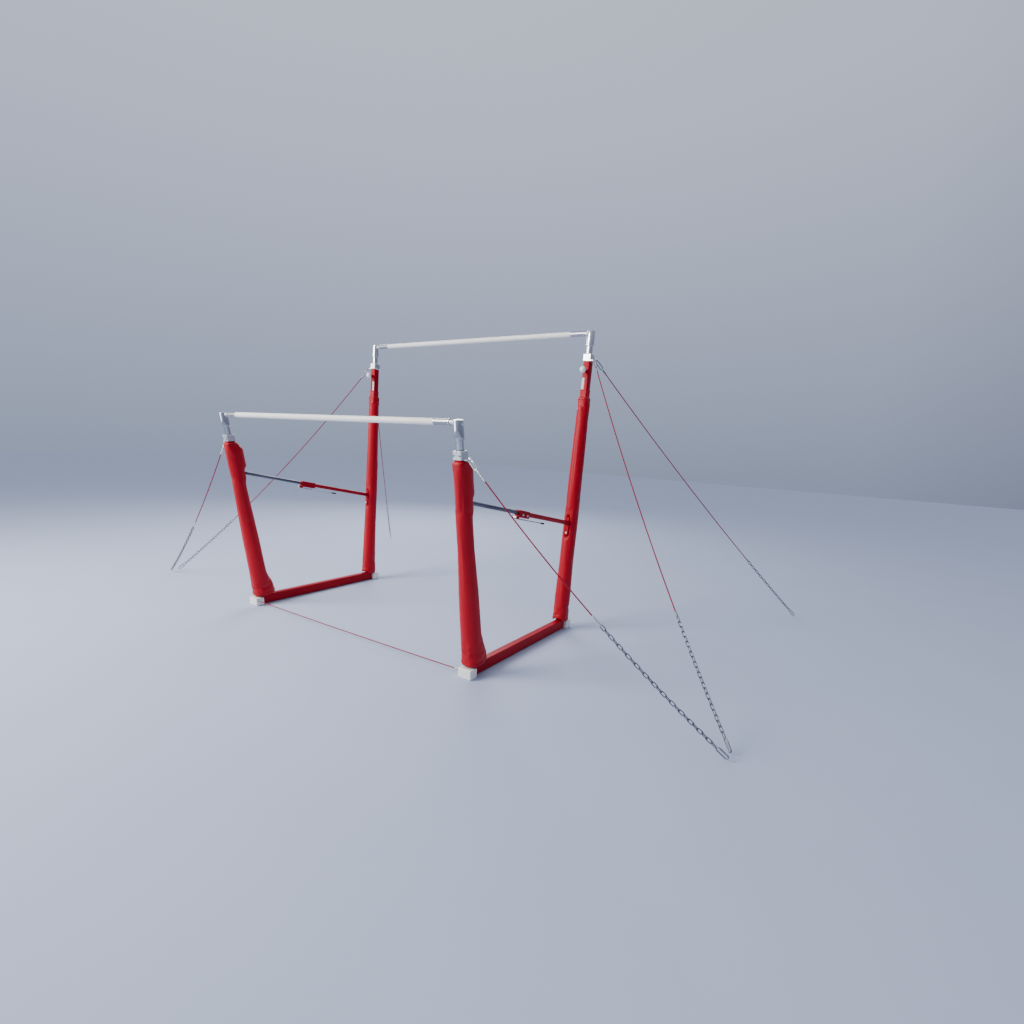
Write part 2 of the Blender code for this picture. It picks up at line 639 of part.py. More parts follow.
def make_spreader_rod(side, x, frame, mouth, length):
    """The sliding rod. Its eye is wider than the pin in the low post's fork."""
    inner_end = mouth + ROD_INSERTED
    outer_end = -length + 0.028
    rod = cylinder(f"spreader_rod_{side}", SPREADER_ROD_RADIUS, inner_end - outer_end, "Y",
                   (x, (inner_end + outer_end) / 2, 0), DARK_STEEL, frame)
    join(
        rod,
        span(f"rod_flat_{side}", (x - 0.007, x + 0.007), (-length, outer_end + 0.012), (-0.011, 0.011),
             DARK_STEEL, frame),
        cylinder(f"rod_eye_{side}", 0.018, 0.014, "X", (x, -length, 0), DARK_STEEL, frame),
    )
    cut(rod, cylinder(f"rod_eye_hole_{side}", 0.011, 0.05, "X", (x, -length, 0), DARK_STEEL, frame))


def make_lever(side, x, frame):
    """The clamp's handle: a hub in the ears and a thin bar that lies back under the tube."""
    _, y, z = LEVER_AT
    bar_z = z - 0.009
    lever = cylinder(f"spreader_lever_{side}", 0.012, 0.0225, "X", (x, y, z), GREY_STEEL, frame)
    join(
        lever,
        cylinder(f"lever_bar_{side}", 0.004, 0.40, "Y", (x, y + 0.205, bar_z), GREY_STEEL, frame, 12),
        cylinder(f"lever_grip_{side}", 0.006, 0.045, "Y", (x, y + 0.390, bar_z), GREY_STEEL, frame, 12),
    )
    cut(lever, cylinder(f"lever_hole_{side}", 0.0033, 0.05, "X", (x, y, z), GREY_STEEL, frame, 12))


# ---------------------------------------------------------------- tension lines

def line_route(posts, lug_y, anchor, sag, sign):
    """The seat in the lug, the floor anchor, and a function from 0..1 to points of the sagging line."""
    y, z = in_world(posts, lug_y, posts["lug"])
    hole = Vector((sign * (POST_X + CABLE_LUG_X), y, z))
    foot = Vector((sign * anchor[0], anchor[1], ANCHOR_Z))
    level = Vector((foot.x - hole.x, foot.y - hole.y, 0)).normalized()
    seat = hole + level * (CABLE_HOLE_RADIUS + CABLE_LUG_RADIUS) / 2

    def at(t):
        return seat + (foot - seat) * t - Vector((0, 0, 4 * sag * t * (1 - t)))

    return seat, foot, at


def make_hook(name, seat, along):
    """A closed snap hook: a stadium of wire in the upright plane of its line."""
    across = Vector((0, 0, 1)) - along * along.z
    across.normalize()
    near = seat + along * HOOK_SEAT
    far = near + along * HOOK_STRAIGHT
    points = []
    for centre, start in ((near, 90), (far, -90)):
        for step in range(7):
            angle = radians(start + 30 * step)
            points.append(centre + (along * cos(angle) + across * sin(angle)) * HOOK_ARC)
    wire(name, points, HOOK_WIRE, GREY_STEEL, closed=True)


def make_line(name, posts, lug_y, anchor, sag, chain, side, sign):
    seat, foot, at = line_route(posts, lug_y, anchor, sag, sign)
    along = (at(0.01) - at(0)).normalized()
    make_hook(f"hook_{name}_{side}", seat, along)
    length = (foot - seat).length
    start = LINE_START / length
    chain_start = 1 - chain / length
    points, factors = [], []
    for index in range(LINE_POINTS):
        t = start + (1 - start) * index / (LINE_POINTS - 1)
        points.append(at(t))
        factors.append(CHAIN_FACTOR if t > chain_start else 1.0)
    wire(f"tension_line_{name}_{side}", points, CABLE_RADIUS, RED_VINYL, factors=factors)


# ---------------------------------------------------------------- assembly

def main():
    frames = {posts["name"]: pivot(f"{posts['name']}_hinge", posts["hinge_y"], HINGE_Z, posts["lean"])
              for posts in (LOW, HIGH)}
    (strut_y, strut_z), lean, length = spreader_line()
    strut = pivot("spreader_hinge", strut_y, strut_z, lean)
    for side, sign in SIDES.items():
        make_base_frame(side, sign)
        for posts in (LOW, HIGH):
            frame = frames[posts["name"]]
            make_foot(posts, side, sign)
            make_hinge_pin(posts, side, sign)
            make_post(posts, side, sign, frame)
            make_collar(posts, side, sign, frame)
            make_pull_knob(posts, side, sign, frame)
            make_pad(posts, side, sign, frame)
        make_spreader(side, sign, strut, length)
        for name, (posts, lug_y, anchor, sag, chain) in LINES.items():
            make_line(name, posts, lug_y, anchor, sag, chain, side, sign)
    for posts in (LOW, HIGH):
        make_bar(posts, frames[posts["name"]])
    make_tie_cable()


main()
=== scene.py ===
"""The looks of the uneven parallel bars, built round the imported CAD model. Metres, in the CAD model's frame."""

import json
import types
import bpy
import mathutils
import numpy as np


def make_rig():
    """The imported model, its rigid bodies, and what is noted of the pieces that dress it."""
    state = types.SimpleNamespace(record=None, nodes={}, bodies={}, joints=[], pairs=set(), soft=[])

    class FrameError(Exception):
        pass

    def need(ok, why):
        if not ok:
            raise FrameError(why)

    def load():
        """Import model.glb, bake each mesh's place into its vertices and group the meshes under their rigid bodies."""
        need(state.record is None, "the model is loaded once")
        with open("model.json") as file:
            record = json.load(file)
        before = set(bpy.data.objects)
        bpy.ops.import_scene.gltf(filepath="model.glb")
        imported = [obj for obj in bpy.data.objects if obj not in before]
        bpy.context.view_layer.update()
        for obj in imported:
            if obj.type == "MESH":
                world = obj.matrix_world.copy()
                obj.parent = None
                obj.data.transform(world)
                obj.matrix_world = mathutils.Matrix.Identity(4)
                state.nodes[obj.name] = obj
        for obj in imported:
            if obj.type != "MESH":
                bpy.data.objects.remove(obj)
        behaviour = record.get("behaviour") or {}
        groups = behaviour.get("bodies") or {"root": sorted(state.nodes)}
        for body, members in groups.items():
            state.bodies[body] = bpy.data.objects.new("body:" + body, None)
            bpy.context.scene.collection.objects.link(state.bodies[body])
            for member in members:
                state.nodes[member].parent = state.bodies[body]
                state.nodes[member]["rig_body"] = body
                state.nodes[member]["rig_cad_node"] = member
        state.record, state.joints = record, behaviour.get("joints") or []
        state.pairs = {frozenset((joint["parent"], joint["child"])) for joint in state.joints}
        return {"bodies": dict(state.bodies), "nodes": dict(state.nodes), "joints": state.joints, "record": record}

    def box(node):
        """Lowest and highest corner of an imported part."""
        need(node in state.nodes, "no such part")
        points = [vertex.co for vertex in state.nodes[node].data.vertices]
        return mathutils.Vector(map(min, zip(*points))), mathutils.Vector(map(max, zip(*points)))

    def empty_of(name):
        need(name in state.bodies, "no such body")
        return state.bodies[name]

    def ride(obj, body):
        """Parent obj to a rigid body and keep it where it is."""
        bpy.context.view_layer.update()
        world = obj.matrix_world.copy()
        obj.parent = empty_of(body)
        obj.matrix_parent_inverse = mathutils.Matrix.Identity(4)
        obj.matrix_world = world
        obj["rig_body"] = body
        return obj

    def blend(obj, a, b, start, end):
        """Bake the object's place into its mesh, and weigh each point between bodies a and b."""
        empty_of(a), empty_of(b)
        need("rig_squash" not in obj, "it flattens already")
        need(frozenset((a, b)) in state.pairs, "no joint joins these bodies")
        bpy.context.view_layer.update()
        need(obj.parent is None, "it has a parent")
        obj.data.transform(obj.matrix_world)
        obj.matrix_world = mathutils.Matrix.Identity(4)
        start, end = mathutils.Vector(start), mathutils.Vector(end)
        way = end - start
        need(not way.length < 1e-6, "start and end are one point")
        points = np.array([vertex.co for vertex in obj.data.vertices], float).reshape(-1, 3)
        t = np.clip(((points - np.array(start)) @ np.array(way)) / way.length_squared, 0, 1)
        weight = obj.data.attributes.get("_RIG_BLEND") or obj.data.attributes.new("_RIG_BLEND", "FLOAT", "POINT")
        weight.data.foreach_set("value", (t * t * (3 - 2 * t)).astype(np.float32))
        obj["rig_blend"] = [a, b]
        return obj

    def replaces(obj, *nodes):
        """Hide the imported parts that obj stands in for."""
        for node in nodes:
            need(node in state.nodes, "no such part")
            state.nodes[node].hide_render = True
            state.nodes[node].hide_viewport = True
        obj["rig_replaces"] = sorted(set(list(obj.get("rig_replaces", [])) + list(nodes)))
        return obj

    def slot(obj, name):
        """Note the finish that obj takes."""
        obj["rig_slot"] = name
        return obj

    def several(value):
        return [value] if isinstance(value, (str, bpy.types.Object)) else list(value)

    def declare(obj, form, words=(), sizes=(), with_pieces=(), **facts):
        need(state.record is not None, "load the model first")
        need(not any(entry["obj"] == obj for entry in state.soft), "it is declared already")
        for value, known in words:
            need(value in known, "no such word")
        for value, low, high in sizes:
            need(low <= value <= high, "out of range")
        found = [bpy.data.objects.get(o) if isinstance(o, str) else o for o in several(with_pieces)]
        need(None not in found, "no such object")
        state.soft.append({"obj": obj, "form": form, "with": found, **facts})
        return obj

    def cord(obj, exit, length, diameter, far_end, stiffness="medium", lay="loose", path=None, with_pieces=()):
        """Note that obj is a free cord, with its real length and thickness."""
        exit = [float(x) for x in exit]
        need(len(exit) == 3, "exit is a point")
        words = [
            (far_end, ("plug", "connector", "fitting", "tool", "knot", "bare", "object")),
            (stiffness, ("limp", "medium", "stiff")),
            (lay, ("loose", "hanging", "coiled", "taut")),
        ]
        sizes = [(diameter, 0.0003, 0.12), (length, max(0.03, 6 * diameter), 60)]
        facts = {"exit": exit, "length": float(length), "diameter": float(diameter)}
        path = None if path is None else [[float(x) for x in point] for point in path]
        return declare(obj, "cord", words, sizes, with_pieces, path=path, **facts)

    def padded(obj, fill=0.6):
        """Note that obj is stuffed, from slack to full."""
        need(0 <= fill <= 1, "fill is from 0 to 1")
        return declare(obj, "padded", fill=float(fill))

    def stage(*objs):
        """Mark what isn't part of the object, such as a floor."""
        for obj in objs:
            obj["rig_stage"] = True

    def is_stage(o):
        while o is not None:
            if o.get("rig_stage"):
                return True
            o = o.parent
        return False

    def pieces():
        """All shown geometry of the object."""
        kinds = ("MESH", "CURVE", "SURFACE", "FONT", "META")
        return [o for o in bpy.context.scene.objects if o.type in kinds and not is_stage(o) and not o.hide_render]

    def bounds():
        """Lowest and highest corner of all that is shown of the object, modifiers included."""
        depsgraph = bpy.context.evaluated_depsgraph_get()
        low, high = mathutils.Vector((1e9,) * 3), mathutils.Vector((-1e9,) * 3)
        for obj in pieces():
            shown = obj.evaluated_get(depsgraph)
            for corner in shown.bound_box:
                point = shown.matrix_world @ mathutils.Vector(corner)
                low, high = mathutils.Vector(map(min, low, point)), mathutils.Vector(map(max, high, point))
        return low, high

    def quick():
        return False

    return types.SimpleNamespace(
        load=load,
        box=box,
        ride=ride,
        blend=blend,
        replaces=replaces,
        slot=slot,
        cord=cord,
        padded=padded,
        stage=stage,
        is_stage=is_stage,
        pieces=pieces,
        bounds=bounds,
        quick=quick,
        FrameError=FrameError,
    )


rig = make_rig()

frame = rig.load()

import json
from math import atan2, ceil, cos, hypot, pi, radians, sin, sqrt

import bmesh
import bpy
from mathutils import Matrix, Vector, noise
from mathutils.bvhtree import BVHTree

CAD_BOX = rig.bounds()
NODES = frame["nodes"]
JOINTS = {joint["name"]: joint for joint in frame["joints"]}
SIDES = {"right": 1, "left": -1}
OUTWARD = {"right": "+X", "left": "-X"}
POST_X = 1.26    # distance of each side frame from the middle


# ---------------------------------------------------------------- camera

CAMERA_PLACE = (3.326, -3.235, 1.566)
YAW, PITCH, ROLL = 30.595, 15.302, 3.414    # degrees: turned left, looking down, tilted
LENS, SENSOR, SHIFT = 17.965, 36, (-0.0288, 0.0738)


def make_camera():
    """The photograph's viewing angle: a wide lens close to the right side frame, a little tilted."""
    yaw, pitch, roll = radians(YAW), radians(PITCH), radians(ROLL)
    ahead = Vector((-sin(yaw) * cos(pitch), cos(yaw) * cos(pitch), -sin(pitch)))
    level = Vector((cos(yaw), sin(yaw), 0))
    above = level.cross(ahead)
    right = level * cos(roll) + above * sin(roll)
    up = above * cos(roll) - level * sin(roll)
    data = bpy.data.cameras.new("camera")
    data.lens, data.sensor_width = LENS, SENSOR
    data.shift_x, data.shift_y = SHIFT
    camera = bpy.data.objects.new("camera", data)
    turn = Matrix((right, up, -ahead)).transposed().to_4x4()
    camera.matrix_world = Matrix.Translation(CAMERA_PLACE) @ turn
    bpy.context.scene.collection.objects.link(camera)
    bpy.context.scene.camera = camera


# ---------------------------------------------------------------- frames of reference

def post_frame(tilt, height):
    """A frame at the posts' hinge whose Z runs up the post."""
    up = Vector(JOINTS[height]["axis"])
    return Matrix.Translation(JOINTS[tilt]["pos_m"]) @ Matrix.Rotation(atan2(-up.y, up.z), 4, "X")


LOW = {"name": "low", "frame": post_frame("low_tilt", "low_bar_height"),
       "body": "low_posts", "bar": "low_bar", "inward": 1}
HIGH = {"name": "high", "frame": post_frame("high_tilt", "high_bar_height"),
        "body": "high_posts", "bar": "high_bar", "inward": -1}
ROOT = Matrix.Identity(4)
STRUT_AXIS = Vector(JOINTS["spreader_slide"]["axis"])
STRUT = (Matrix.Translation(JOINTS["spreader_swing"]["pos_m"])
         @ Matrix.Rotation(atan2(-STRUT_AXIS.z, -STRUT_AXIS.y), 4, "X"))


def local_box(node, where):
    """Lowest and highest corner of a CAD node in another frame."""
    inverse = where.inverted()
    points = [inverse @ vertex.co for vertex in NODES[node].data.vertices]
    return (Vector([min(p[i] for p in points) for i in range(3)]),
            Vector([max(p[i] for p in points) for i in range(3)]))


# ---------------------------------------------------------------- material nodes

class Look:
    """A Principled material and short calls that wire nodes into it."""

    def __init__(self, name, roughness=0.5, metallic=0.0, coat=0.0, shine=0.5):
        self.material = bpy.data.materials.new(name)
        self.material.use_nodes = True
        self.tree = self.material.node_tree
        self.shader = self.tree.nodes["Principled BSDF"]
        self.shader.inputs["Roughness"].default_value = roughness
        self.shader.inputs["Metallic"].default_value = metallic
        self.shader.inputs["Coat Weight"].default_value = coat
        self.shader.inputs["Specular IOR Level"].default_value = shine
        self.shader.inputs["Coat Roughness"].default_value = 0.12
        self.coordinates = self.tree.nodes.new("ShaderNodeTexCoord").outputs["Object"]
        self.height = None

    def link(self, output, target):
        self.tree.links.new(output, target)

    def stretched(self, scale):
        mapping = self.tree.nodes.new("ShaderNodeMapping")
        mapping.inputs["Scale"].default_value = scale
        self.link(self.coordinates, mapping.inputs["Vector"])
        return mapping.outputs["Vector"]

    def noise(self, scale, detail=4.0, stretch=(1, 1, 1), distortion=0.0):
        made = self.tree.nodes.new("ShaderNodeTexNoise")
        made.inputs["Scale"].default_value = scale
        made.inputs["Detail"].default_value = detail
        made.inputs["Distortion"].default_value = distortion
        self.link(self.stretched(stretch), made.inputs["Vector"])
        return made.outputs["Fac"]

    def cells(self, scale, stretch=(1, 1, 1)):
        made = self.tree.nodes.new("ShaderNodeTexVoronoi")
        made.inputs["Scale"].default_value = scale
        self.link(self.stretched(stretch), made.inputs["Vector"])
        return made.outputs["Distance"]

    def waves(self, scale, direction="Z", distortion=0.0):
        made = self.tree.nodes.new("ShaderNodeTexWave")
        made.bands_direction = direction
        made.inputs["Scale"].default_value = scale
        made.inputs["Distortion"].default_value = distortion
        self.link(self.coordinates, made.inputs["Vector"])
        return made.outputs["Fac"]

    def ramp(self, value, *stops):
        """stops are (position, colour) or (position, grey level)."""
        made = self.tree.nodes.new("ShaderNodeValToRGB")
        points = made.color_ramp.elements
        while len(points) < len(stops):
            points.new(0.5)
        for point, (position, colour) in zip(points, stops):
            point.position = position
            point.color = (*colour, 1) if isinstance(colour, tuple) else (colour, colour, colour, 1)
        self.link(value, made.inputs["Fac"])
        return made.outputs["Color"]

    def mixed(self, factor, first, second, blend="MIX"):
        made = self.tree.nodes.new("ShaderNodeMix")
        made.data_type = "RGBA"
        made.blend_type = blend
        for value, socket in ((factor, made.inputs[0]), (first, made.inputs[6]), (second, made.inputs[7])):
            if isinstance(value, bpy.types.NodeSocket):
                self.link(value, socket)
            else:
                socket.default_value = (*value, 1) if isinstance(value, tuple) else value
        return made.outputs[2]

    def colour(self, value):
        self.link(value, self.shader.inputs["Base Color"])
        return self

    def roughness(self, value):
        self.link(value, self.shader.inputs["Roughness"])
        return self

    def bump(self, value, strength, distance):
        made = self.tree.nodes.new("ShaderNodeBump")
        made.inputs["Strength"].default_value = strength
        made.inputs["Distance"].default_value = distance
        self.link(value, made.inputs["Height"])
        if self.height:
            self.link(self.height, made.inputs["Normal"])
        self.height = made.outputs["Normal"]
        self.link(self.height, self.shader.inputs["Normal"])
        return self


def vinyl_look(name, deep, bright):
    """Coated fabric over foam: a fine leather grain, slow wrinkles, and rubbed, duller patches."""
    look = Look(name, shine=0.22)
    tone = look.ramp(look.noise(3.2, 3, (1, 1, 0.35)), (0.35, deep), (0.68, bright))
    rub = look.ramp(look.noise(9, 6, (1, 1, 0.5), 0.6), (0.64, 0.0), (0.85, 0.25))
    worn = tuple(min(1.0, channel * 1.06 + 0.006) for channel in bright)
    look.colour(look.mixed(rub, tone, worn))
    look.roughness(look.ramp(look.noise(22, 5), (0.3, 0.34), (0.75, 0.50)))
    look.bump(look.noise(14, 3, (1, 1, 0.22), 0.3), 0.35, 0.003)
    look.bump(look.cells(1100), 0.12, 0.0004)
    return look.material


CHIP = (0.20, 0.03, 0.035)    # what shows where the enamel is knocked off


def paint_look(name, deep, bright):
    """Gloss enamel on steel: orange peel, fine dust and a few chips."""
    look = Look(name, shine=0.12)
    tone = look.ramp(look.noise(5, 4), (0.3, deep), (0.7, bright))
    chips = look.ramp(look.noise(95, 8, (1, 1, 1), 0.8), (0.775, 0.0), (0.79, 0.8))
    look.colour(look.mixed(chips, tone, CHIP))
    look.roughness(look.ramp(look.noise(40, 6), (0.35, 0.34), (0.8, 0.46)))
    look.bump(look.noise(420, 2), 0.05, 0.0003)
    return look.material


def metal_look(name, dark, light, low, high, brushed=(1, 1, 1), scale=60.0, strength=0.06):
    """Bare or plated metal, with brushing along the direction that the stretch draws out."""
    look = Look(name, metallic=1.0)
    look.colour(look.ramp(look.noise(scale / 4, 5, brushed), (0.3, dark), (0.75, light)))
    smudge = look.noise(scale / 8, 6, (1, 1, 1), 0.5)
    look.roughness(look.ramp(smudge, (0.35, low), (0.7, high)))
    look.bump(look.noise(scale * 5, 3, brushed), strength, 0.0004)
    return look.material


def zinc_look(name):
    """Galvanised steel: a spangle of pale and darker crystals."""
    look = Look(name, metallic=0.9)
    look.colour(look.ramp(look.cells(260), (0.1, (0.50, 0.50, 0.52)), (0.7, (0.74, 0.74, 0.75))))
    look.roughness(look.ramp(look.noise(120, 5), (0.3, 0.32), (0.7, 0.55)))
    look.bump(look.noise(300, 4), 0.15, 0.0004)
    return look.material


def bar_look():
    """Pale lacquered veneer: long grain along X, with dull chalky patches where hands go."""
    look = Look("bar_veneer", coat=0.08)
    grain = look.ramp(look.noise(70, 6, (0.02, 1, 1), 0.4),
                      (0.30, (0.84, 0.79, 0.68)), (0.62, (0.93, 0.91, 0.85)))
    chalk = look.ramp(look.noise(4.2, 6, (1, 3, 3), 0.8), (0.46, 0.0), (0.66, 0.75))
    look.colour(look.mixed(chalk, grain, (0.95, 0.95, 0.93)))
    look.roughness(look.ramp(look.noise(9, 5), (0.3, 0.38), (0.7, 0.62)))
    look.bump(look.noise(220, 4, (0.03, 1, 1)), 0.12, 0.0004)
    return look.material


def plastic_look(name, shade, dirt, roughness=(0.22, 0.38)):
    look = Look(name)
    look.colour(look.mixed(look.ramp(look.noise(30, 7, (1, 1, 1), 0.7), (0.58, 0.0), (0.85, 0.6)), shade, dirt))
    look.roughness(look.ramp(look.noise(55, 5), (0.3, roughness[0]), (0.7, roughness[1])))
    look.bump(look.noise(600, 2), 0.06, 0.0004)
    return look.material


def sheath_look():
    """Red plastic over wire rope, so the lay of the strands just shows through."""
    look = Look("cable_sheath", shine=0.12)
    look.colour(look.ramp(look.noise(20, 5), (0.3, (0.22, 0.002, 0.018)), (0.75, (0.32, 0.004, 0.026))))
    look.roughness(look.ramp(look.noise(60, 5), (0.3, 0.30), (0.7, 0.5)))
    look.bump(look.waves(95, "DIAGONAL", 1.0), 0.25, 0.0005)
    return look.material


def scale_look():
    """The pale height scale: dark ruled ticks across it, with no figures."""
    look = Look("height_scale", roughness=0.35)
    ticks = look.ramp(look.waves(31.4, "Z"), (0.86, 0.0), (0.90, 1.0))
    look.colour(look.mixed(ticks, (0.72, 0.73, 0.74), (0.16, 0.16, 0.18)))
    look.bump(look.noise(200, 2), 0.05, 0.0003)
    return look.material


LOOKS = {
    "red_vinyl": vinyl_look("red_vinyl_cover", (0.400, 0.0002, 0.0100), (0.480, 0.0004, 0.0130)),
    "piping": vinyl_look("red_piping", (0.32, 0.0004, 0.0090), (0.42, 0.0008, 0.0120)),
    "red_paint": paint_look("red_enamel", (0.350, 0.0003, 0.0100), (0.420, 0.0005, 0.0130)),
    "cream_bar": bar_look(),
    "aluminium": metal_look("machined_aluminium", (0.66, 0.68, 0.69), (0.84, 0.86, 0.86), 0.22, 0.42,
                            (1, 1, 0.05)),
    "chrome": metal_look("chrome_plate", (0.72, 0.72, 0.74), (0.88, 0.88, 0.89), 0.05, 0.16,
                         (1, 1, 0.04), 40, 0.03),
    # Satin steel, kept darker than plain steel: partly painted shade for the bar sleeves' dark undersides.
    "grey_steel": metal_look("satin_steel", (0.30, 0.30, 0.33), (0.54, 0.54, 0.57), 0.20, 0.38, (0.05, 1, 1)),
    "dark_steel": metal_look("blackened_steel", (0.085, 0.085, 0.115), (0.17, 0.17, 0.22), 0.26, 0.44,
                             (1, 0.05, 1)),
    "zinc": zinc_look("galvanised_steel"),
    "white_plastic": plastic_look("white_knob", (0.94, 0.94, 0.92), (0.76, 0.74, 0.70)),
    "white_foot": plastic_look("white_foot", (0.93, 0.92, 0.87), (0.66, 0.63, 0.57), (0.42, 0.65)),
    # Darker than the hooks' zinc: painted shade on the chain links.
    "shaded_chain_steel": metal_look("shaded_chain_steel", (0.13, 0.13, 0.16), (0.26, 0.26, 0.30), 0.30, 0.50),
    # Paler than the sockets' zinc: painted sunlight on the low posts' hooks.
    "sunlit_zinc": metal_look("sunlit_zinc", (0.78, 0.78, 0.76), (0.94, 0.94, 0.92), 0.25, 0.45),
    # A darker steel: painted shade on the high posts' hooks and sleeves; the floor hooks and tie sleeves also use it.
    "shade_dark_steel": metal_look("shade_dark_steel", (0.20, 0.20, 0.23), (0.36, 0.36, 0.40), 0.30, 0.50),
    "black_rubber": plastic_look("black_rubber", (0.022, 0.022, 0.024), (0.06, 0.06, 0.06), (0.55, 0.75)),
    "red_cable": sheath_look(),
    "scale": scale_look(),
}


# ---------------------------------------------------------------- mesh helpers

def finish_piece(name, mesh, look, where, body, slot, sharp=32):
    """A smooth-shaded piece placed in a frame and riding on a body."""
    mesh.shade_smooth()
    mesh.set_sharp_from_angle(angle=radians(sharp))
    mesh.materials.append(LOOKS[look])
    obj = bpy.data.objects.new(name, mesh)
    obj.matrix_world = where
    bpy.context.scene.collection.objects.link(obj)
    if body:
        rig.ride(obj, body)
    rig.slot(obj, slot)
    return obj


def mesh_from(name, bm):
    """The finished mesh, with its faces turned outwards."""
    bmesh.ops.recalc_face_normals(bm, faces=bm.faces)
    mesh = bpy.data.meshes.new(name)
    bm.to_mesh(mesh)
    bm.free()
    return mesh


def rings_mesh(bm, rings, closed_rings=False):
    """Skins rings of equal length. A ring of one point closes to a tip."""
    made = [[bm.verts.new(point) for point in ring] for ring in rings]
    pairs = list(zip(made, made[1:] + made[:1])) if closed_rings else list(zip(made, made[1:]))
    for first, second in pairs:
        count = max(len(first), len(second))
        for index in range(count):
            after = (index + 1) % count
            corners = [first[index % len(first)], first[after % len(first)],
                       second[after % len(second)], second[index % len(second)]]
            corners = [c for k, c in enumerate(corners) if c not in corners[:k]]
            bm.faces.new(corners)
    return made


def revolve(bm, profile, centre=(0, 0, 0), axis="Z", segments=48):
    """A turned shape from (radius, height) points. Radius 0 closes an end."""
    order = {"Z": (0, 1, 2), "X": (1, 2, 0), "Y": (2, 0, 1)}[axis]
    rings = []
    for radius, height in profile:
        ring = []
        for step in range(segments if radius else 1):
            angle = 2 * pi * step / segments
            flat = (radius * cos(angle), radius * sin(angle), height)
            point = [0, 0, 0]
            for value, place in zip(flat, order):
                point[place] = value
            ring.append(Vector(point) + Vector(centre))
        rings.append(ring)
    rings_mesh(bm, rings)


def tube(bm, points, radius, sides=10, closed=False, radii=None):
    """A tube along points, with its sections turned as little as possible."""
    points = [Vector(p) for p in points]
    count = len(points)
    rings, side = [], None
    for index, point in enumerate(points):
        before = points[index - 1] if index or closed else point
        after = points[(index + 1) % count] if index < count - 1 or closed else point
        along = (after - before).normalized()
        side = along.orthogonal() if side is None else side - along * side.dot(along)
        side.normalize()
        other = along.cross(side)
        size = radii[index] if radii else radius
        rings.append([point + (side * cos(a) + other * sin(a)) * size
                      for a in (2 * pi * step / sides for step in range(sides))])
    if not closed:
        rings = [[points[0]]] + rings + [[points[-1]]]
    rings_mesh(bm, rings, closed_rings=closed)


def bevelled_block(bm, low, high, bevel):
    """A box between two corners, with its edges cut at 45 degrees."""
    made = bmesh.ops.create_cube(bm, size=1.0)
    size = [b - a for a, b in zip(low, high)]
    middle = Vector([(a + b) / 2 for a, b in zip(low, high)])
    for vertex in made["verts"]:
        vertex.co = Vector([c * s for c, s in zip(vertex.co, size)]) + middle
    edges = {edge for vertex in made["verts"] for edge in vertex.link_edges}
    bmesh.ops.bevel(bm, geom=list(edges), offset=bevel, segments=1, profile=0.5, affect="EDGES")


def bolt_head(bm, centre, direction, size, height):
    """A hexagon head with a chamfered top on a washer. direction is a signed axis such as +X."""
    axis = direction[1]
    sign = 1 if direction[0] == "+" else -1
    washer = [(0, 0), (size * 0.78, 0), (size * 0.80, 0.0004), (size * 0.78, 0.0016), (0, 0.0016)]
    revolve(bm, [(r, sign * h) for r, h in washer], centre, axis, 24)
    head = [(0, 0.0016), (size * 0.57, 0.0016), (size * 0.57, height * 0.75), (size * 0.48, height), (0, height)]
    revolve(bm, [(r, sign * h) for r, h in head], centre, axis, 6)


# ---------------------------------------------------------------- CAD nodes that keep their shape

WELD_GAP = 0.00001
CAD_EDGE = 31    # degrees; sharper edges of a CAD node stay hard


def dress_cad_nodes():
    """Every CAD node gets its material and rounded shading; its vertices stay as they are."""
    slots = {part["node"]: part["material_slot"] for part in frame["record"]["subparts"]}
    for name, obj in NODES.items():
        look = LOOKS[slots[name]]
        obj.data.materials.clear()
        obj.data.materials.append(look)
        if "custom_normal" in obj.data.attributes:
            obj.data.attributes.remove(obj.data.attributes["custom_normal"])
        obj.data.shade_smooth()
        weld = obj.modifiers.new("weld", "WELD")
        weld.merge_threshold = WELD_GAP
        split = obj.modifiers.new("edges", "EDGE_SPLIT")
        split.split_angle = radians(CAD_EDGE)


# ---------------------------------------------------------------- tension lines

# The routes are those of the CAD model's tension lines.
CABLE_RADIUS = 0.004
LUG_X = 1.315          # the hole in the collar's plate
HOLE_TO_SEAT = 0.012   # from that hole to where the hook bears
ANCHOR_Z = 0.022       # height of the floor anchor's ring
LINE_START = 0.076     # the hook's share of the line, before the cable begins
SOCKETS = {"low": 0.075, "high": 0.040}    # length of the pressed sleeves
CABLE_SAMPLES, CHAIN_SAMPLES, SOCKET_SAMPLES = 60, 40, 10
LINK_PITCH, LINK_WIRE, LINK_WIDTH = 0.036, 0.003, 0.024
FLOOR_HOOK = 0.085     # the last stretch, to the anchor
HOOK_WIRE, GATE_WIRE = 0.004, 0.0048
LINES = {   # posts, lug (y, z) in the post's frame, anchor (x, y), sag, length of the chain stretch
    "low": (LOW, (0.0, 1.358), (3.00, -0.625), 0.075, 1.02),
    "high_front": (HIGH, (-0.018, 2.152), (3.00, -0.550), 0.100, 0.90),
    "high_back": (HIGH, (0.018, 2.152), (3.00, 2.55), 0.050, 0.90),
}


def line_route(posts, lug, anchor, sag, sign):
    """Both ends of a line, and a function that gives its points from 0 at the seat to 1 at the floor."""
    hole = posts["frame"] @ Vector((sign * LUG_X, lug[0], lug[1]))
    foot = Vector((sign * anchor[0], anchor[1], ANCHOR_Z))
    level = Vector((foot.x - hole.x, foot.y - hole.y, 0)).normalized()
    seat = hole + level * HOLE_TO_SEAT

    def at(t):
        return seat + (foot - seat) * t - Vector((0, 0, 4 * sag * t * (1 - t)))

    return seat, foot, at


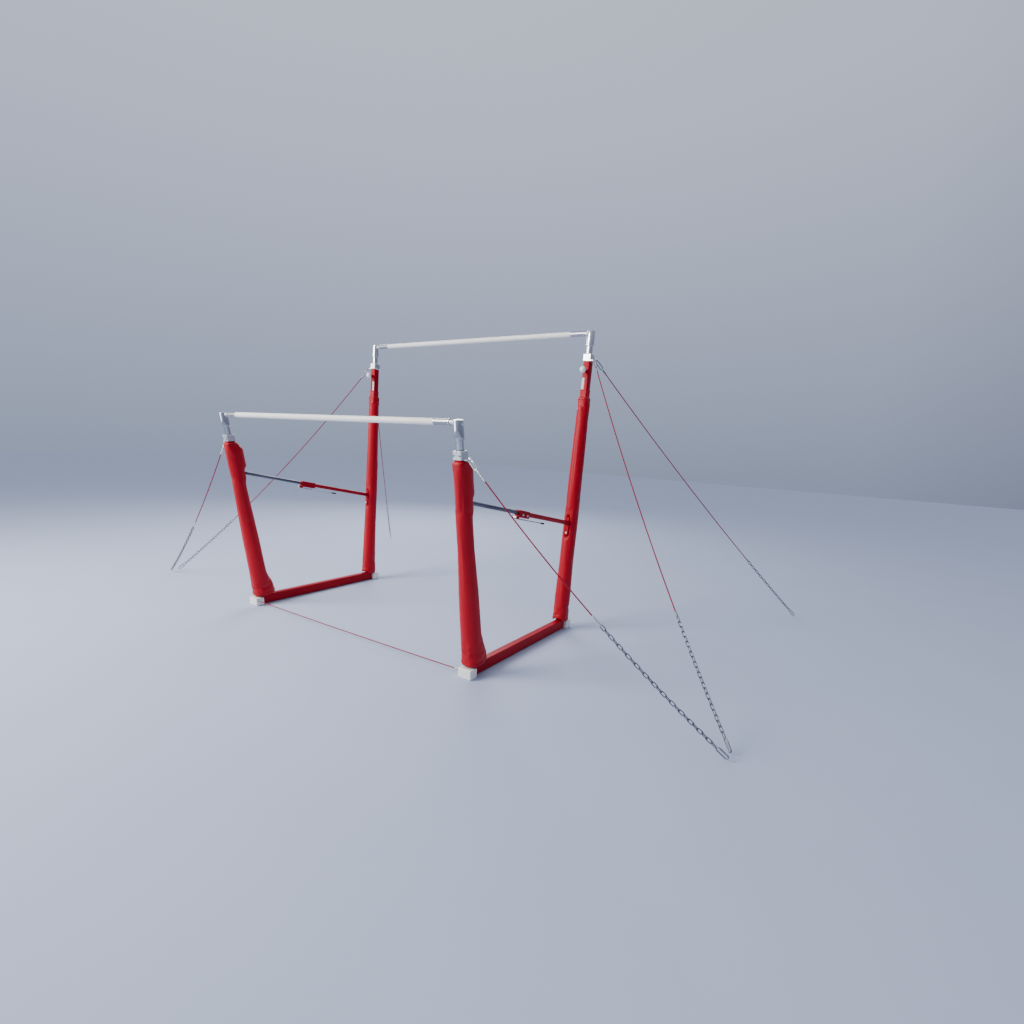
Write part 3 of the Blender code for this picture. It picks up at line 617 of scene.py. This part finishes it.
def stretch(at, length, begin, end, count):
    """Points of a route between two distances from its seat."""
    return [at((begin + (end - begin) * index / (count - 1)) / length) for index in range(count)]


def stadium(centre, along, across, straight, radius, steps):
    """A closed path: two half circles joined by straights, starting round the near end."""
    points = []
    for end, start in ((centre, 90), (centre + along * straight, -90)):
        for step in range(steps + 1):
            angle = radians(start + 180 * step / steps)
            points.append(end + (along * cos(angle) + across * sin(angle)) * radius)
    return points


def upright(along):
    """The upward direction square to a line."""
    return (Vector((0, 0, 1)) - along * along.z).normalized()


def bend(obj, posts, seat, foot):
    """The piece follows the floor at one end and the post at the other."""
    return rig.blend(obj, "root", posts["body"], start=foot, end=seat)


def make_snap_hook(name, side, posts, seat, along):
    """The hook in the collar's plate: a wire ring, a sprung gate in its upper side and a swivel barrel."""
    across = upright(along)
    bm = bmesh.new()
    tube(bm, stadium(seat + along * 0.0007, along, across, 0.060, 0.011, 12), HOOK_WIRE, 12, closed=True)
    gate_from, gate_to = seat + along * 0.014 + across * 0.011, seat + along * 0.046 + across * 0.011
    tube(bm, [gate_from, gate_from + along * 0.001, gate_to - along * 0.001, gate_to], GATE_WIRE, 12,
         radii=[0.0042, GATE_WIRE, GATE_WIRE, 0.0042])
    # The low hooks take a paler zinc as painted sunlight, and the high hooks a darker steel as painted shade.
    look = "sunlit_zinc" if posts is LOW else "shade_dark_steel"
    hook = finish_piece(f"snap_hook_{name}_{side}", mesh_from("snap_hook", bm), look, ROOT, posts["body"],
                        "grey_steel")
    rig.replaces(hook, f"hook_{name}_{side}")


def make_socket(label, points, narrow_first, posts, seat, foot):
    """A pressed sleeve over the cable's end, with two crimped waists."""
    shape = [0.0056, 0.0072, 0.0072, 0.0062, 0.0072, 0.0072, 0.0062, 0.0072, 0.0072, 0.0050]
    if narrow_first:
        shape.reverse()
    bm = bmesh.new()
    tube(bm, points, 0.007, 14, radii=shape)
    # The low sleeves take zinc, and the high sleeves a darker steel as painted shade.
    look = "zinc" if posts is LOW else "shade_dark_steel"
    obj = finish_piece(label, mesh_from("socket", bm), look, ROOT, None, "grey_steel")
    return bend(obj, posts, seat, foot)


def make_cable(name, side, posts, seat, foot, at, length, chain):
    """The sheathed cable between its two pressed sleeves, declared as a cord."""
    begin, end = LINE_START, length - chain
    path = stretch(at, length, begin, end, CABLE_SAMPLES)
    bm = bmesh.new()
    tube(bm, path, CABLE_RADIUS, 12)
    cable = finish_piece(f"cable_{name}_{side}", mesh_from("cable", bm), "red_cable", ROOT, None, "red_cable")
    bend(cable, posts, seat, foot)
    sleeve = SOCKETS[posts["name"]]
    first = stretch(at, length, begin - 0.001, begin + sleeve, SOCKET_SAMPLES)
    last = stretch(at, length, end - sleeve, end + 0.001, SOCKET_SAMPLES)
    top = make_socket(f"top_socket_{name}_{side}", first, False, posts, seat, foot)
    low = make_socket(f"low_socket_{name}_{side}", last, True, posts, seat, foot)
    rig.replaces(cable, f"tension_line_{name}_{side}")
    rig.cord(cable, exit=tuple(path[0]), length=end - begin, diameter=2 * CABLE_RADIUS, far_end="fitting",
            stiffness="stiff", lay="taut", path=[tuple(p) for p in path], with_pieces=[top, low])


def make_chain(name, side, posts, seat, foot, at, length, chain):
    """Welded links from the cable's lower sleeve to the hook in the floor anchor."""
    begin, end = length - chain, length - FLOOR_HOOK
    count = round((end - begin) / LINK_PITCH)
    pitch = (end - begin) / count
    bm = bmesh.new()
    for index in range(count):
        middle = begin + pitch * (index + 0.5)
        along = (at((middle + 0.01) / length) - at((middle - 0.01) / length)).normalized()
        across = upright(along)
        if index % 2:
            across = along.cross(across)
        radius = LINK_WIDTH / 2 - LINK_WIRE
        straight = pitch + 2 * LINK_WIRE - 2 * radius
        centre = at(middle / length) - along * straight / 2
        tube(bm, stadium(centre, along, across, straight, radius, 6), LINK_WIRE, 8, closed=True)
    # The links take a darker steel than the hooks, as painted shade.
    links = finish_piece(f"chain_{name}_{side}", mesh_from("chain", bm), "shaded_chain_steel", ROOT, None, "grey_steel")
    bend(links, posts, seat, foot)
    path = stretch(at, length, begin, end, CHAIN_SAMPLES)
    hook = make_floor_hook(name, side, posts, at, length, end)
    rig.cord(links, exit=tuple(path[0]), length=end - begin, diameter=LINK_WIDTH, far_end="fitting",
            stiffness="limp", lay="taut", path=[tuple(p) for p in path], with_pieces=[hook])


def make_floor_hook(name, side, posts, at, length, begin):
    """A closed snap hook that clips into the ring of the floor anchor."""
    along = (at(1) - at(begin / length)).normalized()
    across = upright(along)
    bm = bmesh.new()
    start = at(begin / length) + along * 0.008
    tube(bm, stadium(start + along * 0.006, along, across, 0.056, 0.0105, 10), HOOK_WIRE, 12, closed=True)
    tube(bm, [start + along * (0.016 + 0.004 * k) + across * 0.0105 for k in range(8)], GATE_WIRE, 12)
    return finish_piece(f"floor_hook_{name}_{side}", mesh_from("floor_hook", bm), "shade_dark_steel", ROOT, "root",
                        "grey_steel")


def make_tension_lines():
    """Hook, cable and chain of all six lines."""
    for side, sign in SIDES.items():
        for name, (posts, lug, anchor, sag, chain) in LINES.items():
            seat, foot, at = line_route(posts, lug, anchor, sag, sign)
            length = (foot - seat).length
            make_snap_hook(name, side, posts, seat, (at(0.01) - at(0)).normalized())
            make_cable(name, side, posts, seat, foot, at, length, chain)
            make_chain(name, side, posts, seat, foot, at, length, chain)


def make_tie_cable():
    """The low line between the front feet, with a pressed sleeve at each foot."""
    low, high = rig.box("tie_cable")
    half, y, top = high.x, (low.y + high.y) / 2, high.z - CABLE_RADIUS
    sag = (high.z - low.z) - 2 * CABLE_RADIUS
    path = [Vector((-half + 2 * half * t, y, top - sag * 4 * t * (1 - t))) for t in (k / 60 for k in range(61))]
    bm = bmesh.new()
    tube(bm, path, CABLE_RADIUS, 12)
    cable = finish_piece("tie_line", mesh_from("tie_line", bm), "red_cable", ROOT, "root", "red_cable")
    ends = []
    for side, sign in SIDES.items():
        bm = bmesh.new()
        ordered = path[::-1] if sign > 0 else path
        sleeve = [ordered[0].lerp(ordered[1], k / 9) for k in range(10)]
        tube(bm, sleeve, 0.007, 14,
             radii=[0.0085, 0.0085, 0.0066, 0.0066, 0.0074, 0.0066, 0.0074, 0.0066, 0.0072, 0.0050])
        ends.append(finish_piece(f"tie_sleeve_{side}", mesh_from("tie_sleeve", bm), "shade_dark_steel", ROOT, "root",
                                 "grey_steel"))
    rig.replaces(cable, "tie_cable")
    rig.cord(cable, exit=tuple(path[0]), length=2 * half, diameter=2 * CABLE_RADIUS, far_end="object",
            stiffness="stiff", lay="taut", path=[tuple(p) for p in path], with_pieces=ends)


# ---------------------------------------------------------------- padded covers

AROUND, ROW = 72, 0.013    # points round a cover, and the height between its rings
NECK = 0.058    # height of the high cover's narrow top
NECK_ROWS = 15
RAY_FROM, RAY_STOP = 0.25, 0.030    # the rays run inwards between these distances from the post's axis
OPENING_HALF, CORNER = 0.0325, 0.008    # the rounded square that the cover shrinks to at an opening
CLOSURE, FLAP, GROOVE = 0.020, 0.0022, -0.0012    # the lapped seam: half width, rise, groove beside it
SEEDS = {"low": 3.0, "high": 7.0}
NOTCH_TOP, NOTCH_HALF, NOTCH_BLEND = -0.022, 0.037, 0.010    # where the base tube passes under the cover's foot
RAY_TURN = 0.004    # keeps the rays off the CAD pad's own edges
SPARE = 0.0015    # the cover starts this much outside the CAD pad, and pulls back as it settles
SLACK, FOAM_PRESSURE, CLOTH_FRAMES, MOST_MOVE = 0.004, 4.0, 12, 0.005


def cover_radii(node, where, x, z_low, z_high):
    """The CAD pad's outer radius on a grid of height and angle, and the points that lie over its openings."""
    source = NODES[node].data
    inverse = where.inverted()
    vertices = [inverse @ vertex.co for vertex in source.vertices]
    tree = BVHTree.FromPolygons(vertices, [tuple(polygon.vertices) for polygon in source.polygons])
    rows = ceil((z_high - z_low) / ROW)
    heights = [z_low + (z_high - z_low) * row / rows for row in range(rows + 1)]
    radii, holes = [], []
    for z in heights:
        line, gaps = [], []
        for step in range(AROUND):
            angle = 2 * pi * step / AROUND + RAY_TURN
            out = Vector((cos(angle), sin(angle), 0))
            centre = Vector((x, 0, max(z, NOTCH_TOP + 0.004)))
            hit = tree.ray_cast(centre + out * RAY_FROM, -out, RAY_FROM - RAY_STOP)[0]
            line.append(hypot(hit.x - x, hit.y) if hit else 0.0)
            gaps.append(not hit)
        known = [radius for radius in line if radius]
        fill = max(known)
        radii.append([radius or fill for radius in line])
        holes.append(gaps)
    return heights, radii, holes


def softened(grid, around, along):
    """The grid with each value eased towards its neighbours, first about the post and then along it."""
    for _ in range(around):
        grid = [[0.5 * line[k] + 0.25 * (line[k - 1] + line[(k + 1) % AROUND]) for k in range(AROUND)]
                for line in grid]
    for _ in range(along):
        rows = list(zip(grid[:1] + grid[:-1], grid, grid[1:] + grid[-1:]))
        grid = [[0.25 * (a + c) + 0.5 * b for a, b, c in zip(*row)] for row in rows]
    return grid


def square_reach(angle, half, corner):
    """Distance from the axis to the outline of a rounded square, at an angle."""
    flat = half - corner
    folded = abs((angle + pi / 4) % (pi / 2) - pi / 4)
    if half * sin(folded) <= flat * cos(folded):
        return half / cos(folded)
    return flat * (cos(folded) + sin(folded)) + sqrt(corner ** 2 - flat ** 2 * (1 - sin(2 * folded)))


def square_ring(x, z, half, corner=CORNER):
    """A rounded square round a post, as cover points."""
    angles = [2 * pi * step / AROUND for step in range(AROUND)]
    reach = [square_reach(angle, half, corner) for angle in angles]
    return [Vector((x + r * cos(a), r * sin(a), z)) for r, a in zip(reach, angles)]


def drape(z, angle, z_low, z_high, seed):
    """How far the loose cover stands off its foam: bellies, upright drag lines and folds at the foot."""
    round_x, round_y = cos(angle), sin(angle)
    belly = noise.noise(Vector((round_x * 0.9, round_y * 0.9, z * 2.6 + seed))) * 0.0022
    drag = noise.noise(Vector((round_x * 3.1, round_y * 3.1, z * 1.1 + seed * 2))) * 0.0012
    share = (z - z_low) / (z_high - z_low)
    gather = max(0.0, 1 - share * 6)
    folds = noise.noise(Vector((round_x * 1.3, round_y * 1.3, z * 34 + seed))) * 0.0030 * gather
    tight = min(1.0, (z - z_low) / 0.03, (z_high - z) / 0.03)
    return (belly + drag + folds) * max(tight, 0.0)


def settle(mesh, held):
    """Runs the cover as cloth: slack vinyl pressed out by its foam, its hems and openings held."""
    obj = bpy.data.objects.new("settling", mesh)
    bpy.context.scene.collection.objects.link(obj)
    obj.vertex_groups.new(name="held").add(held, 1.0, "REPLACE")
    cloth = obj.modifiers.new("cloth", "CLOTH")
    settings = cloth.settings
    settings.quality = 4
    settings.mass = 0.35
    settings.tension_stiffness, settings.compression_stiffness, settings.shear_stiffness = 20, 12, 6
    settings.bending_stiffness = 0.6
    settings.shrink_min = -SLACK
    settings.use_pressure = True
    settings.uniform_pressure_force = FOAM_PRESSURE
    settings.vertex_group_mass = "held"
    settings.effector_weights.gravity = 0
    cloth.collision_settings.use_collision = False
    scene = bpy.context.scene
    for step in range(1, CLOTH_FRAMES + 1):
        scene.frame_set(step)
    settled = obj.evaluated_get(bpy.context.evaluated_depsgraph_get()).data
    moves = [after.co - before.co for before, after in zip(mesh.vertices, settled.vertices)]
    for vertex, move in zip(mesh.vertices, moves):
        vertex.co += move * min(1.0, MOST_MOVE / max(move.length, 1e-9))
    bpy.data.objects.remove(obj)
    scene.frame_set(1)


def cover_rings(posts, low, top):
    """The right-hand cover's rings of points, and how far each point belongs to an opening."""
    pad = f"pad_{posts['name']}_right"
    heights, radii, holes = cover_radii(pad, posts["frame"], POST_X, low + 0.007, top - 0.006)
    radii = softened(radii, 12 if posts is LOW else 7, 1)
    mask = softened([[1.0 if gap else 0.0 for gap in line] for line in holes], 1, 1)
    seed = SEEDS[posts["name"]]
    rings = []
    for row, z in enumerate(heights):
        ring = []
        for step in range(AROUND):
            angle = 2 * pi * step / AROUND
            off = abs(angle - pi) * radii[row][step]    # the closure faces the other side frame
            flap = FLAP if off < CLOSURE else 0.0
            groove = GROOVE if CLOSURE <= off < 0.026 else 0.0
            radius = radii[row][step] + flap + groove + drape(z, angle, low, top, seed) + SPARE
            radius += (square_reach(angle, OPENING_HALF, CORNER) - radius) * min(mask[row][step] * 1.4, 1.0)
            ring.append(Vector((POST_X + radius * cos(angle), radius * sin(angle), z)))
        rings.append(ring)
    return rings, mask


def lift_over_base(ring, inward, low):
    """The ring raised over the base tube, on the side where the tube runs on."""
    for point in ring:
        off = abs(point.x - POST_X)
        share = min(max((NOTCH_HALF + NOTCH_BLEND - off) / NOTCH_BLEND, 0.0), 1.0)
        if point.z < 0.03 and point.y * inward > 0:
            lowest = low + (NOTCH_TOP + 0.002 - low) * share
            point.z = 0.03 - (0.03 - point.z) * (0.03 - lowest) / (0.03 - low)


def sew_cover(posts):
    """A vinyl cover with turned-in hems, settled as cloth, and the two rings that its piping follows."""
    low, high = local_box(f"pad_{posts['name']}_right", posts["frame"])
    top = high.z - NECK if posts is HIGH else high.z
    rings, mask = cover_rings(posts, low.z, top)
    foot_hem = hem(rings[0], POST_X, low.z, square_ring(POST_X, low.z, 0.055, 0.0549), 0.045)
    top_hem = hem(rings[-1], POST_X, top, square_ring(POST_X, top, 0.0315), -0.02)
    for ring in foot_hem + rings:
        lift_over_base(ring, posts["inward"], low.z)
    bm = bmesh.new()
    rings_mesh(bm, foot_hem[::-1] + rings + top_hem)
    mesh = mesh_from(f"cover_{posts['name']}", bm)
    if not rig.quick():
        hems = len(foot_hem)
        free = {AROUND * (row + hems) + k for row in range(2, len(rings) - 2) for k in range(AROUND)
                if mask[row][k] < 0.02}
        settle(mesh, [index for index in range(len(mesh.vertices)) if index not in free])
    return mesh, (rings[1], rings[-2])


def make_covers(posts):
    """The right-hand cover and its mirror image on the left post."""
    mesh, welts = sew_cover(posts)
    for side, sign in SIDES.items():
        name = f"{posts['name']}_{side}"
        own = mesh.copy()
        if sign < 0:
            own.transform(Matrix.Scale(-1, 4, (1, 0, 0)))
            own.flip_normals()
        cover = finish_piece(f"cover_{name}", own, "red_vinyl", posts["frame"], posts["body"], "red_vinyl", 60)
        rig.replaces(cover, f"pad_{name}")
        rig.padded(cover, fill=0.9)
        own_welts = [[Vector((sign * p.x, p.y, p.z)) for p in ring] for ring in welts]
        make_piping(f"piping_{name}", posts, own_welts)
        if posts is HIGH:
            high = local_box(f"pad_{name}", posts["frame"])[1].z
            make_neck(name, posts, sign * POST_X, high - NECK, high)


def hem(ring, x, z, last, depth):
    """The cover's end turned in over the foam and down inside it."""
    def scaled(factor, height):
        return [Vector((x + (p.x - x) * factor, p.y * factor, height)) for p in ring]

    edge = sum(hypot(p.x - x, p.y) for p in ring) / len(ring)
    shrink = (edge - 0.005) / edge
    inside = [Vector((p.x, p.y, z + depth)) for p in last]
    return [scaled((1 + shrink) / 2, (z * 2 + ring[0].z) / 3), scaled(shrink, z), last, inside]


def make_piping(name, posts, rings):
    """A rolled welt sewn round each end of the cover."""
    bm = bmesh.new()
    for ring in rings:
        centre = sum(ring, Vector()) / len(ring)
        tube(bm, [centre + (p - centre) * 1.005 for p in ring], 0.0028, 8, closed=True)
    finish_piece(name, mesh_from("piping", bm), "piping", posts["frame"], posts["body"], "red_vinyl", 60)


def make_neck(name, posts, x, low, high):
    """The narrow elastic collar of the high cover, gathered on the bare post."""
    rings = []
    for row in range(NECK_ROWS):
        t = row / (NECK_ROWS - 1)
        z = low - 0.002 + (high - low + 0.002) * t
        ring = []
        for step in range(AROUND):
            angle = 2 * pi * step / AROUND
            gather = 0.0007 * sin(angle * 24 + noise.noise(Vector((cos(angle), sin(angle), z * 9))) * 2)
            flare, rim = 0.004 * max(0.0, 1 - t * 4) ** 2, 0.0014 if t > 0.86 else 0.0
            half = 0.0335 + gather * sin(pi * t) + flare + rim
            radius = square_reach(angle, half, 0.012)
            ring.append(Vector((x + radius * cos(angle), radius * sin(angle), z)))
        rings.append(ring)
    bm = bmesh.new()
    rings_mesh(bm, rings + [square_ring(x, high, 0.0305)])
    finish_piece(f"cover_neck_{name}", mesh_from("neck", bm), "red_vinyl", posts["frame"], posts["body"],
                 "red_vinyl", 60)


# ---------------------------------------------------------------- small detail

def make_scale_plate(side, sign):
    """The flat height scale below the high collar, on the side that faces the low bar."""
    neck_top = local_box(f"pad_high_{side}", HIGH["frame"])[1].z
    bm = bmesh.new()
    x = sign * (POST_X - 0.014)
    bevelled_block(bm, (x - 0.011, -0.0312, neck_top + 0.004), (x + 0.011, -0.0298, neck_top + 0.094), 0.0004)
    finish_piece(f"height_scale_{side}", mesh_from("scale", bm), "scale", HIGH["frame"], "high_posts", "aluminium")


def make_collar_fasteners(posts, side, sign):
    """Clamp bolts, the split line and the wiper ring of each collar."""
    name = f"{posts['name']}_{side}"
    low, high = local_box(f"collar_{name}", posts["frame"])
    x = sign * POST_X
    out = -posts["inward"]
    face = high.y if out > 0 else low.y
    bm = bmesh.new()
    for dx in (-0.022, 0.022):
        bolt_head(bm, (x + dx, face, high.z - 0.029), "+Y" if out > 0 else "-Y", 0.009, 0.0055)
    finish_piece(f"collar_bolts_{name}", mesh_from("collar_bolts", bm), "grey_steel", posts["frame"], posts["body"],
                 "grey_steel")
    bm = bmesh.new()
    bevelled_block(bm, (x - 0.0012, min(face, face - out * 0.001), high.z - 0.056),
                   (x + 0.0012, max(face + out * 0.0004, face - out * 0.001), high.z - 0.002), 0.0002)
    revolve(bm, [(0.0285, high.z - 0.0004), (0.0285, high.z + 0.0022), (0.0265, high.z + 0.0030),
                 (0.0256, high.z + 0.0022), (0.0256, high.z - 0.0004)], (x, 0, 0))
    finish_piece(f"collar_wiper_{name}", mesh_from("collar_wiper", bm), "black_rubber", posts["frame"], posts["body"],
                 "white_plastic")


def make_head_details(posts, side, sign):
    """A domed cap, a set screw and a turned rim on each bar head."""
    name = f"{posts['name']}_{side}"
    low, high = local_box(f"bar_head_{name}", posts["frame"])
    x = sign * POST_X
    bm = bmesh.new()
    z = high.z
    cap = [(0, z + 0.0035), (0.010, z + 0.0032), (0.020, z + 0.0018), (0.0265, z), (0.0265, z - 0.0006)]
    revolve(bm, cap, (x, 0, 0))
    z = low.z
    rim = [(0.0319, z + 0.012), (0.0330, z + 0.011), (0.0330, z + 0.003), (0.0319, z + 0.002)]
    revolve(bm, rim, (x, 0, 0))
    bolt_head(bm, (x + sign * 0.0318, 0, high.z - 0.024), OUTWARD[side], 0.010, 0.006)
    finish_piece(f"head_trim_{name}", mesh_from("head_trim", bm), "chrome", posts["frame"], posts["bar"], "chrome")


def make_sleeve_rings(posts, side, sign):
    """Raised turned rings on the bar's end sleeve, and a ring on the neck beside the head."""
    name = f"{posts['name']}_{side}"
    low, high = local_box(f"bar_sleeve_{name}", posts["frame"])
    z = (low.z + high.z) / 2
    bm = bmesh.new()
    for at in (low.x + 0.004, high.x - 0.006):
        revolve(bm, [(0.0203, at - 0.0025), (0.0210, at - 0.0015), (0.0210, at + 0.0015), (0.0203, at + 0.0025)],
                (0, 0, z), "X")
    neck = sign * 1.20
    ring = [(0.0121, neck), (0.0150, neck), (0.0150, neck + sign * 0.010), (0.0121, neck + sign * 0.012)]
    revolve(bm, ring, (0, 0, z), "X", 40)
    finish_piece(f"sleeve_rings_{name}", mesh_from("sleeve_rings", bm), "chrome", posts["frame"], posts["bar"],
                 "grey_steel")


def make_spreader_details(side, sign):
    """The two bolts of the spreader's clamp, the bolt of its bracket and the lever's grip."""
    x = sign * POST_X
    mouth = local_box(f"spreader_tube_{side}", STRUT)[0].y + 0.024
    bm = bmesh.new()
    for along in (0.045, 0.105):
        bolt_head(bm, (x + sign * 0.024, mouth + along, -0.012), OUTWARD[side], 0.011, 0.007)
    finish_piece(f"clamp_bolts_{side}", mesh_from("clamp_bolts", bm), "zinc", STRUT, "spreader_tubes", "grey_steel")
    bm = bmesh.new()
    bolt_head(bm, (x, -0.0660, 0.7507), "-Y", 0.010, 0.004)
    finish_piece(f"bracket_bolt_{side}", mesh_from("bracket_bolt", bm), "zinc", HIGH["frame"], "high_posts",
                 "grey_steel")
    low, high = local_box(f"spreader_lever_{side}", STRUT)
    end = high.y
    bm = bmesh.new()
    revolve(bm, [(0, end), (0.0060, end - 0.001), (0.0070, end - 0.006), (0.0070, end - 0.044), (0.0050, end - 0.050)],
            (x, 0, low.z + 0.006), "Y", 20)
    finish_piece(f"lever_grip_{side}", mesh_from("lever_grip", bm), "black_rubber", STRUT, f"spreader_lever_{side}",
                 "dark_steel")


# ---------------------------------------------------------------- stage

SOFTBOX, SOFTBOX_LEVEL = (-0.76, -0.64, 0.10), 3.5    # direction and brightness of the studio's bright wall
WORLD_STRENGTH = 0.92
LIGHTS_AIM = (0, 0, 1.2)


def world_ramp(tree, source, *stops):
    """A colour ramp over one world direction, from -1 to 1."""
    shift = tree.nodes.new("ShaderNodeMapRange")
    shift.inputs["From Min"].default_value = -1
    tree.links.new(source, shift.inputs["Value"])
    ramp = tree.nodes.new("ShaderNodeValToRGB")
    points = ramp.color_ramp.elements
    while len(points) < len(stops):
        points.new(0.5)
    for point, (position, colour) in zip(points, stops):
        point.position, point.color = position, (*colour, 1)
    tree.links.new(shift.outputs["Result"], ramp.inputs["Fac"])
    return ramp.outputs["Color"]


def world_mix(tree, blend, first, second):
    """Two colours multiplied or added, without clamping."""
    made = tree.nodes.new("ShaderNodeMix")
    made.data_type, made.blend_type = "RGBA", blend
    made.clamp_result = False
    made.inputs[0].default_value = 1.0
    tree.links.new(first, made.inputs[6])
    tree.links.new(second, made.inputs[7])
    return made.outputs[2]


def make_world():
    """A studio that is bright on the left and dark on the right, with its horizon in the floor's tone."""
    world = bpy.data.worlds.new("studio")
    world.use_nodes = True
    tree = world.node_tree
    split = tree.nodes.new("ShaderNodeSeparateXYZ")
    direction = tree.nodes.new("ShaderNodeTexCoord").outputs["Generated"]
    tree.links.new(direction, split.inputs[0])
    across = world_ramp(tree, split.outputs["X"], (0.0, (1.0, 1.0, 1.0)), (0.5, (0.86, 0.86, 0.87)),
                        (0.76, (0.50, 0.49, 0.52)), (1.0, (0.42, 0.41, 0.45)))
    height = world_ramp(tree, split.outputs["Z"], (0.48, (0.34, 0.40, 0.56)), (0.56, (0.44, 0.51, 0.70)),
                        (0.75, (0.72, 0.80, 1.0)), (1.0, (0.9, 0.95, 1.0)))
    towards = tree.nodes.new("ShaderNodeVectorMath")
    towards.operation = "DOT_PRODUCT"
    towards.inputs[1].default_value = SOFTBOX
    tree.links.new(direction, towards.inputs[0])
    box = world_ramp(tree, towards.outputs["Value"], (0.955, (0.0, 0.0, 0.0)), (0.985, (1.0, 1.0, 0.98)))
    bright = tree.nodes.new("ShaderNodeVectorMath")
    bright.operation = "SCALE"
    bright.inputs["Scale"].default_value = SOFTBOX_LEVEL
    tree.links.new(box, bright.inputs[0])
    tinted = world_mix(tree, "MULTIPLY", across, height)
    tree.links.new(world_mix(tree, "ADD", tinted, bright.outputs[0]), tree.nodes["Background"].inputs["Color"])
    tree.nodes["Background"].inputs["Strength"].default_value = WORLD_STRENGTH
    bpy.context.scene.world = world


def make_stage():
    """A plain pale floor, a large soft key from the front left and a rim light."""
    look = Look("pale_floor", roughness=0.8, shine=0.1)
    look.colour(look.ramp(look.noise(1.5, 3), (0.2, (0.48, 0.54, 0.70)), (0.8, (0.50, 0.56, 0.72))))
    bpy.ops.mesh.primitive_plane_add(size=60, location=(0, 0, -0.001))
    floor = bpy.context.object
    floor.name = "floor"
    floor.data.materials.append(look.material)
    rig.stage(floor)
    for name, place, size, power, colour in (
        ("key", (-3.4, -5.4, 5.0), 4.0, 720, (1.0, 0.98, 0.95)),
        ("rim", (-4.5, 4.8, 5.0), 3.5, 260, (1.0, 1.0, 1.0)),
    ):
        data = bpy.data.lights.new(name, "AREA")
        data.size, data.energy, data.color = size, power, colour
        light = bpy.data.objects.new(name, data)
        light.location = place
        light.rotation_euler = (Vector(LIGHTS_AIM) - Vector(place)).to_track_quat("-Z", "Y").to_euler()
        bpy.context.scene.collection.objects.link(light)
    make_world()


# ---------------------------------------------------------------- assembly

def write_size():
    """The CAD box and the visual model's box, written to extents.json."""
    boxes = {"cad": CAD_BOX, "visual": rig.bounds()}
    with open("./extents.json", "w") as file:
        json.dump({name: [list(corner) for corner in box] for name, box in boxes.items()}, file)


make_camera()
dress_cad_nodes()
make_tension_lines()
make_tie_cable()
for posts in (LOW, HIGH):
    make_covers(posts)
for side, sign in SIDES.items():
    for posts in (LOW, HIGH):
        make_collar_fasteners(posts, side, sign)
        make_head_details(posts, side, sign)
        make_sleeve_rings(posts, side, sign)
    make_scale_plate(side, sign)
    make_spreader_details(side, sign)
make_stage()
write_size()
